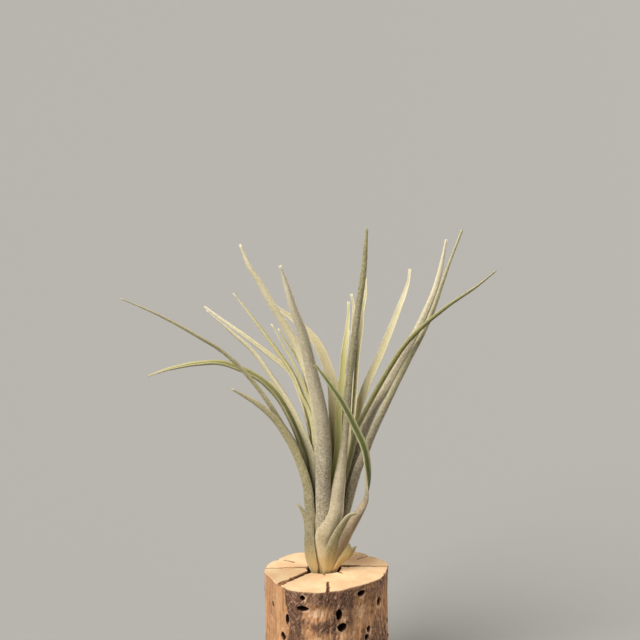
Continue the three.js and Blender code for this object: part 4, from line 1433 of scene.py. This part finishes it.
LEAVES = (
    Leaf("leaf_heart_left", Ring.HEART, 200, 1.6, 1.8, Tone.LIME,
         ((-3.5, 2.5, 90), (-4.5, 2.5, 110), (-7, 1.5, 118), (-10, 0, 127), (-14, -1, 135.5),
          (-17.5, -2.5, 142), (-21, -3.5, 149))),
    Leaf("leaf_heart_right", Ring.HEART, 30, 1.6, 1.4, Tone.CREAM,
         ((6, 4.5, 84), (8, 5, 97.5), (9, 6, 117), (10, 7, 136.5), (10.5, 7.5, 147.5), (10.5, 8, 153.5),
          (9.5, 8, 158.5)), facing=(0.4, 1, -0.2), fullness=5),
    Leaf("leaf_inner_left_green", Ring.INNER, 178, 2, 2.2, Tone.LIME,
         ((-4.8, 3.5, 85), (-5.2, 3, 106), (-7, 3, 114), (-10, 2.5, 120.5), (-13, 2.5, 128), (-19.5, 2, 138),
          (-27, 1.5, 148.5), (-35.5, 1, 160))),
    Leaf("leaf_inner_left_short", Ring.INNER, 140, 2, 1.7, Tone.LIME,
         ((-4, 6, 88), (-4.5, 5, 112), (-6.5, 4, 124), (-10.5, 3, 133), (-15, 2.5, 140), (-18.5, 2, 146))),
    Leaf("leaf_inner_back_arching", Ring.INNER, 104, 2.4, 2.5, Tone.ARCH,
         ((1.5, 8.5, 78), (4, 9, 96.5), (3.5, 10, 104), (3, 12, 115.5), (2, 14, 123.5), (0, 16.5, 129.5),
          (-2, 18, 134), (-4.5, 19.5, 138), (-11, 23, 144), (-20.5, 27, 150.5)), facing=(0.25, 1, -0.35)),
    Leaf("leaf_inner_back_green", Ring.INNER, 68, 2, 1.6, Tone.LIME,
         ((3, 6.5, 84), (4.5, 7, 97), (5, 8, 112.5), (6, 9, 122.5), (6.5, 10, 129.5), (7, 10.5, 136),
          (8, 11.5, 143), (8.5, 12.5, 148), (8.5, 13, 154.5)), fullness=4),
    Leaf("leaf_inner_right_pale", Ring.INNER, 18, 2, 1.5, Tone.SILVER,
         ((7, 4.5, 84), (9, 5, 97.5), (10, 5.5, 109.5), (11, 6.5, 120), (11.5, 7.5, 128.5),
          (12.5, 8.5, 138.5), (13.5, 9.5, 145.5), (14, 10.5, 151.5), (15, 11, 157), (15, 12, 164)),
         facing=(0.5, 1, -0.2), fullness=4),
    Leaf("leaf_inner_front", Ring.INNER, 322, 2, 1.65, Tone.OLIVE,
         ((6, -0.3, 82), (10, -1, 99), (11.5, -2, 107), (14.5, -3, 114), (17, -3.5, 119), (20, -5, 125),
          (27, -8, 138), (32, -10, 145), (38, -12, 151.5), (45.5, -15.5, 158.5), (54.5, -21, 166),
          (61.5, -26, 173)), fullness=5),
    Leaf("leaf_inner_left_tall", Ring.INNER, 226, 2.2, 2.5, Tone.SILVER,
         ((-3.2, 0, 84), (-3.5, 0, 106.5), (-5, 0, 118), (-6.5, 0, 124.5), (-11, -1, 138.5),
          (-15.2, -2, 146.5), (-20.5, -3.5, 155.5), (-26, -5.5, 166), (-28.8, -6.5, 170.5), (-32.5, -8, 180)),
         facing=(-0.5, -0.8, -0.4)),
    Leaf("leaf_third_left_mid", Ring.THIRD, 146, 2.6, 1.9, Tone.CREAM,
         ((-5.5, 6, 82), (-5.8, 5.5, 101.5), (-7, 5.5, 107.5), (-10.5, 6, 120), (-14, 7, 127.5),
          (-22, 9, 134), (-29.5, 11, 139.5), (-37.5, 13.5, 145), (-47.5, 16, 152))),
    Leaf("leaf_third_back_tall", Ring.THIRD, 92, 2.6, 1.9, Tone.SILVER,
         ((1, 14, 80), (2.5, 20, 100), (6, 25, 120), (9, 30, 140))),
    Leaf("leaf_third_back_left_tall", Ring.THIRD, 118, 2.4, 1.9, Tone.CREAM,
         ((-2.5, 9, 80), (-4, 13, 99), (-5, 17, 108.5), (-7, 23, 118.5), (-11, 30, 129.5), (-15.5, 36, 138),
          (-20.5, 42, 145.5))),
    Leaf("leaf_third_right_cream", Ring.THIRD, 46, 2.6, 1.85, Tone.CREAM,
         ((6.5, 8, 82), (9, 9, 100.5), (11.5, 9.5, 110.5), (13.5, 9.5, 116), (16.5, 11, 124),
          (20, 12.5, 131.5), (22.5, 14, 137), (25, 15.5, 143), (26.5, 17, 146.5), (28, 17.5, 150.5),
          (29.5, 18.5, 154), (31, 19.5, 158), (32, 20, 161.5), (32.5, 21, 166)),
         facing=(0.35, 1, -0.4), fullness=4, cup=0.4),
    Leaf("leaf_third_right_grey", Ring.THIRD, 4, 2.6, 2.7, Tone.TAUPE,
         ((7, 2, 76), (9, 1, 88.5), (10.5, 1.5, 94.5), (12.7, 2, 101.5), (15.5, 2.5, 108.5), (19, 3, 116),
          (23.7, 4, 123.5), (29, 5.5, 133.5), (33.5, 6, 141.5), (38.5, 7, 152), (42.5, 7.5, 163),
          (45.7, 8, 179.5)), facing=(0.3, -1, -0.3), fullness=2),
    Leaf("leaf_third_left_low", Ring.THIRD, 190, 2.6, 2.9, Tone.CREAM,
         ((-5.6, 3, 80), (-6, 3.5, 96), (-9.5, 3.5, 106), (-14, 3.5, 115.5), (-21, 3.5, 126.5),
          (-28.5, 3.5, 137), (-36.5, 3.5, 144.5), (-46, 3.5, 153))),
    Leaf("leaf_third_right_pale", Ring.THIRD, 330, 3, 2.2, Tone.SAGE,
         ((7.6, -1, 73), (10, -1.5, 83), (12.3, -2, 91.5), (14.7, -2.5, 97.5), (18.2, -3, 107), (24, -4, 120),
          (31.5, -5, 136), (35.5, -5.5, 144), (40, -6, 154.5), (45.5, -7, 171.5), (50.5, -7.5, 185.5)),
         facing=(0.5, -0.9, -0.3), fullness=1.2),
    Leaf("leaf_third_front_left", Ring.THIRD, 250, 3.4, 3, Tone.TAUPE,
         ((-1.5, -5, 74.5), (-1.5, -6, 80.5), (-1.5, -7.5, 89), (-1, -9.5, 97.5), (-2, -13.5, 114),
          (-6, -19, 134.5), (-9.5, -24, 150.5), (-12.2, -26.5, 158.5), (-15.2, -30, 170), (-17, -32, 176)),
         facing=(-0.15, -1, -0.3), fullness=2.4),
    Leaf("leaf_second_back_left_low", Ring.SECOND, 128, 2.8, 1.8, Tone.FADED,
         ((-6, 11, 78), (-7, 14, 90.5), (-9, 18, 97), (-11.5, 22.5, 101.5), (-15.5, 27, 108), (-19, 33, 113),
          (-23, 39, 117))),
    Leaf("leaf_second_back_left", Ring.SECOND, 106, 2.8, 2, Tone.TAUPE,
         ((-3.5, 13, 72), (-4, 19, 87), (-4, 26, 99), (-4, 35, 107))),
    Leaf("leaf_second_back_right", Ring.SECOND, 72, 2.8, 2, Tone.SILVER,
         ((3, 13, 75), (5, 19, 93), (6.5, 26, 109), (7.5, 34, 121))),
    Leaf("leaf_second_back_right_tall", Ring.SECOND, 38, 2.8, 2.1, Tone.FADED,
         ((6.5, 10, 78), (9.5, 13, 95), (13.5, 18, 101.5), (18, 24, 107.5), (25, 32, 116), (32, 40, 127),
          (37, 45, 137.5))),
    Leaf("leaf_second_left_drooping", Ring.SECOND, 164, 2.8, 2.3, Tone.OLIVE,
         ((-7.6, 5, 76), (-7.6, 5, 91), (-10.5, 5, 100.5), (-13.5, 5, 108.5), (-18.5, 6, 117.5),
          (-24, 6.5, 123.5), (-28.5, 7.5, 126.5), (-34, 8, 129), (-41, 9, 131), (-49, 10.5, 130.5),
          (-61, 12, 128), (-69.5, 13, 125)), fullness=4),
    Leaf("leaf_second_left_long", Ring.SECOND, 202, 3, 2.1, Tone.FADED,
         ((-7.8, 1, 78), (-10, 1.5, 96), (-14, 1.5, 103.5), (-17.5, 1, 109), (-21, 0.5, 115), (-27, 0, 124),
          (-33, -1, 131.5), (-40.5, -2, 138.5), (-48, -3, 143.5), (-63, -5, 152.5), (-77.5, -7.5, 159.5))),
    Leaf("leaf_second_left_hook", Ring.SECOND, 176, 2.2, 2.4, Tone.OLD,
         ((-7.6, 2.6, 65), (-7.9, 2.6, 69), (-9, 2.6, 72.5), (-11.2, 2.6, 76.2)),
         facing=(-0.6, -1, 0.2), fullness=1.3, turns=(4, 13)),
    Leaf("leaf_second_front_tall", Ring.SECOND, 268, 4, 1.35, Tone.TALL,
         ((-0.4, -4.4, 66), (1.2, -5.2, 71), (2.9, -5.8, 75.5), (3.5, -6, 80.5), (4.5, -7, 87),
          (5.5, -7.5, 95), (6.5, -8, 103), (7.5, -10, 115), (8.5, -12, 131), (10, -14.5, 145),
          (11.5, -16.5, 157), (12.5, -18, 164.5), (13.5, -19.5, 173), (14, -21, 180.5), (14.5, -22, 188)),
         facing=(-0.35, -1, -0.2), fullness=10, narrows=(14, 62)),
    Leaf("leaf_outer_back", Ring.OUTER, 84, 3.4, 2, Tone.TAUPE,
         ((1, 17, 69), (2, 27, 81), (3, 38, 87), (3.5, 50, 87))),
    Leaf("leaf_outer_back_left", Ring.OUTER, 122, 3.2, 1.8, Tone.SILVER,
         ((-6, 14, 66), (-7.5, 22, 74), (-8, 31, 78), (-8, 40, 77))),
    Leaf("leaf_outer_back_right", Ring.OUTER, 46, 3.2, 1.8, Tone.FADED,
         ((6.5, 12, 68), (9, 20, 78), (11, 29, 84), (12, 38, 85))),
    Leaf("leaf_outer_left", Ring.OUTER, 212, 4, 2.3, Tone.FADED,
         ((-6.6, -2, 72.5), (-7, -2.5, 78), (-7.5, -2.5, 83.5), (-10, -3, 93), (-13.5, -4, 101.5),
          (-19, -5.5, 111), (-25.5, -7.5, 118), (-31.5, -9.5, 122.5), (-36, -11.5, 125.5)),
         facing=(-0.7, -0.8, -0.4), fullness=4, foot=0.55),
    Leaf("leaf_outer_right_twisted", Ring.OUTER, 332, 3.1, 1.8, Tone.TWISTED,
         ((7.3, -1.4, 61), (8.5, -3, 66.5), (10.5, -4.5, 71.5), (13, -7, 77.5), (15, -8.5, 82),
          (15.5, -9.5, 86), (15.5, -11, 92), (15, -12.5, 98), (14, -13.5, 103), (10, -15.5, 112.5),
          (5.5, -17.5, 122), (0, -19, 130.5), (-4.5, -20, 137)),
         fullness=4, rows=3, narrows=(10, 32), turns=(6, 56), twist=-195),
    Leaf("leaf_outer_front_short", Ring.OUTER, 291, 2.8, 2, Tone.OLD,
         ((2.6, -5.8, 61), (3.8, -7.2, 66), (6.3, -9, 71.5), (8.9, -10.5, 75.8), (11.5, -11, 76.5)),
         facing=(0.5, -0.9, -0.3), fullness=4, rows=3),
    Leaf("leaf_outer_right_stub", Ring.OUTER, 326, 2.3, 1.35, Tone.STRAW,
         ((8, -3, 57), (10.3, -3.7, 61.5)), facing=(0.3, -1, 0.1), fullness=60, rows=2, notch=1.3),
)


def main() -> None:
    """Builds and reports every piece."""
    logging.basicConfig(level=logging.INFO, format="%(message)s")
    Studio().build()
    Post().build()
    Stem().build()
    Rosette(LEAVES).build()


if __name__ == "__main__":
    main()
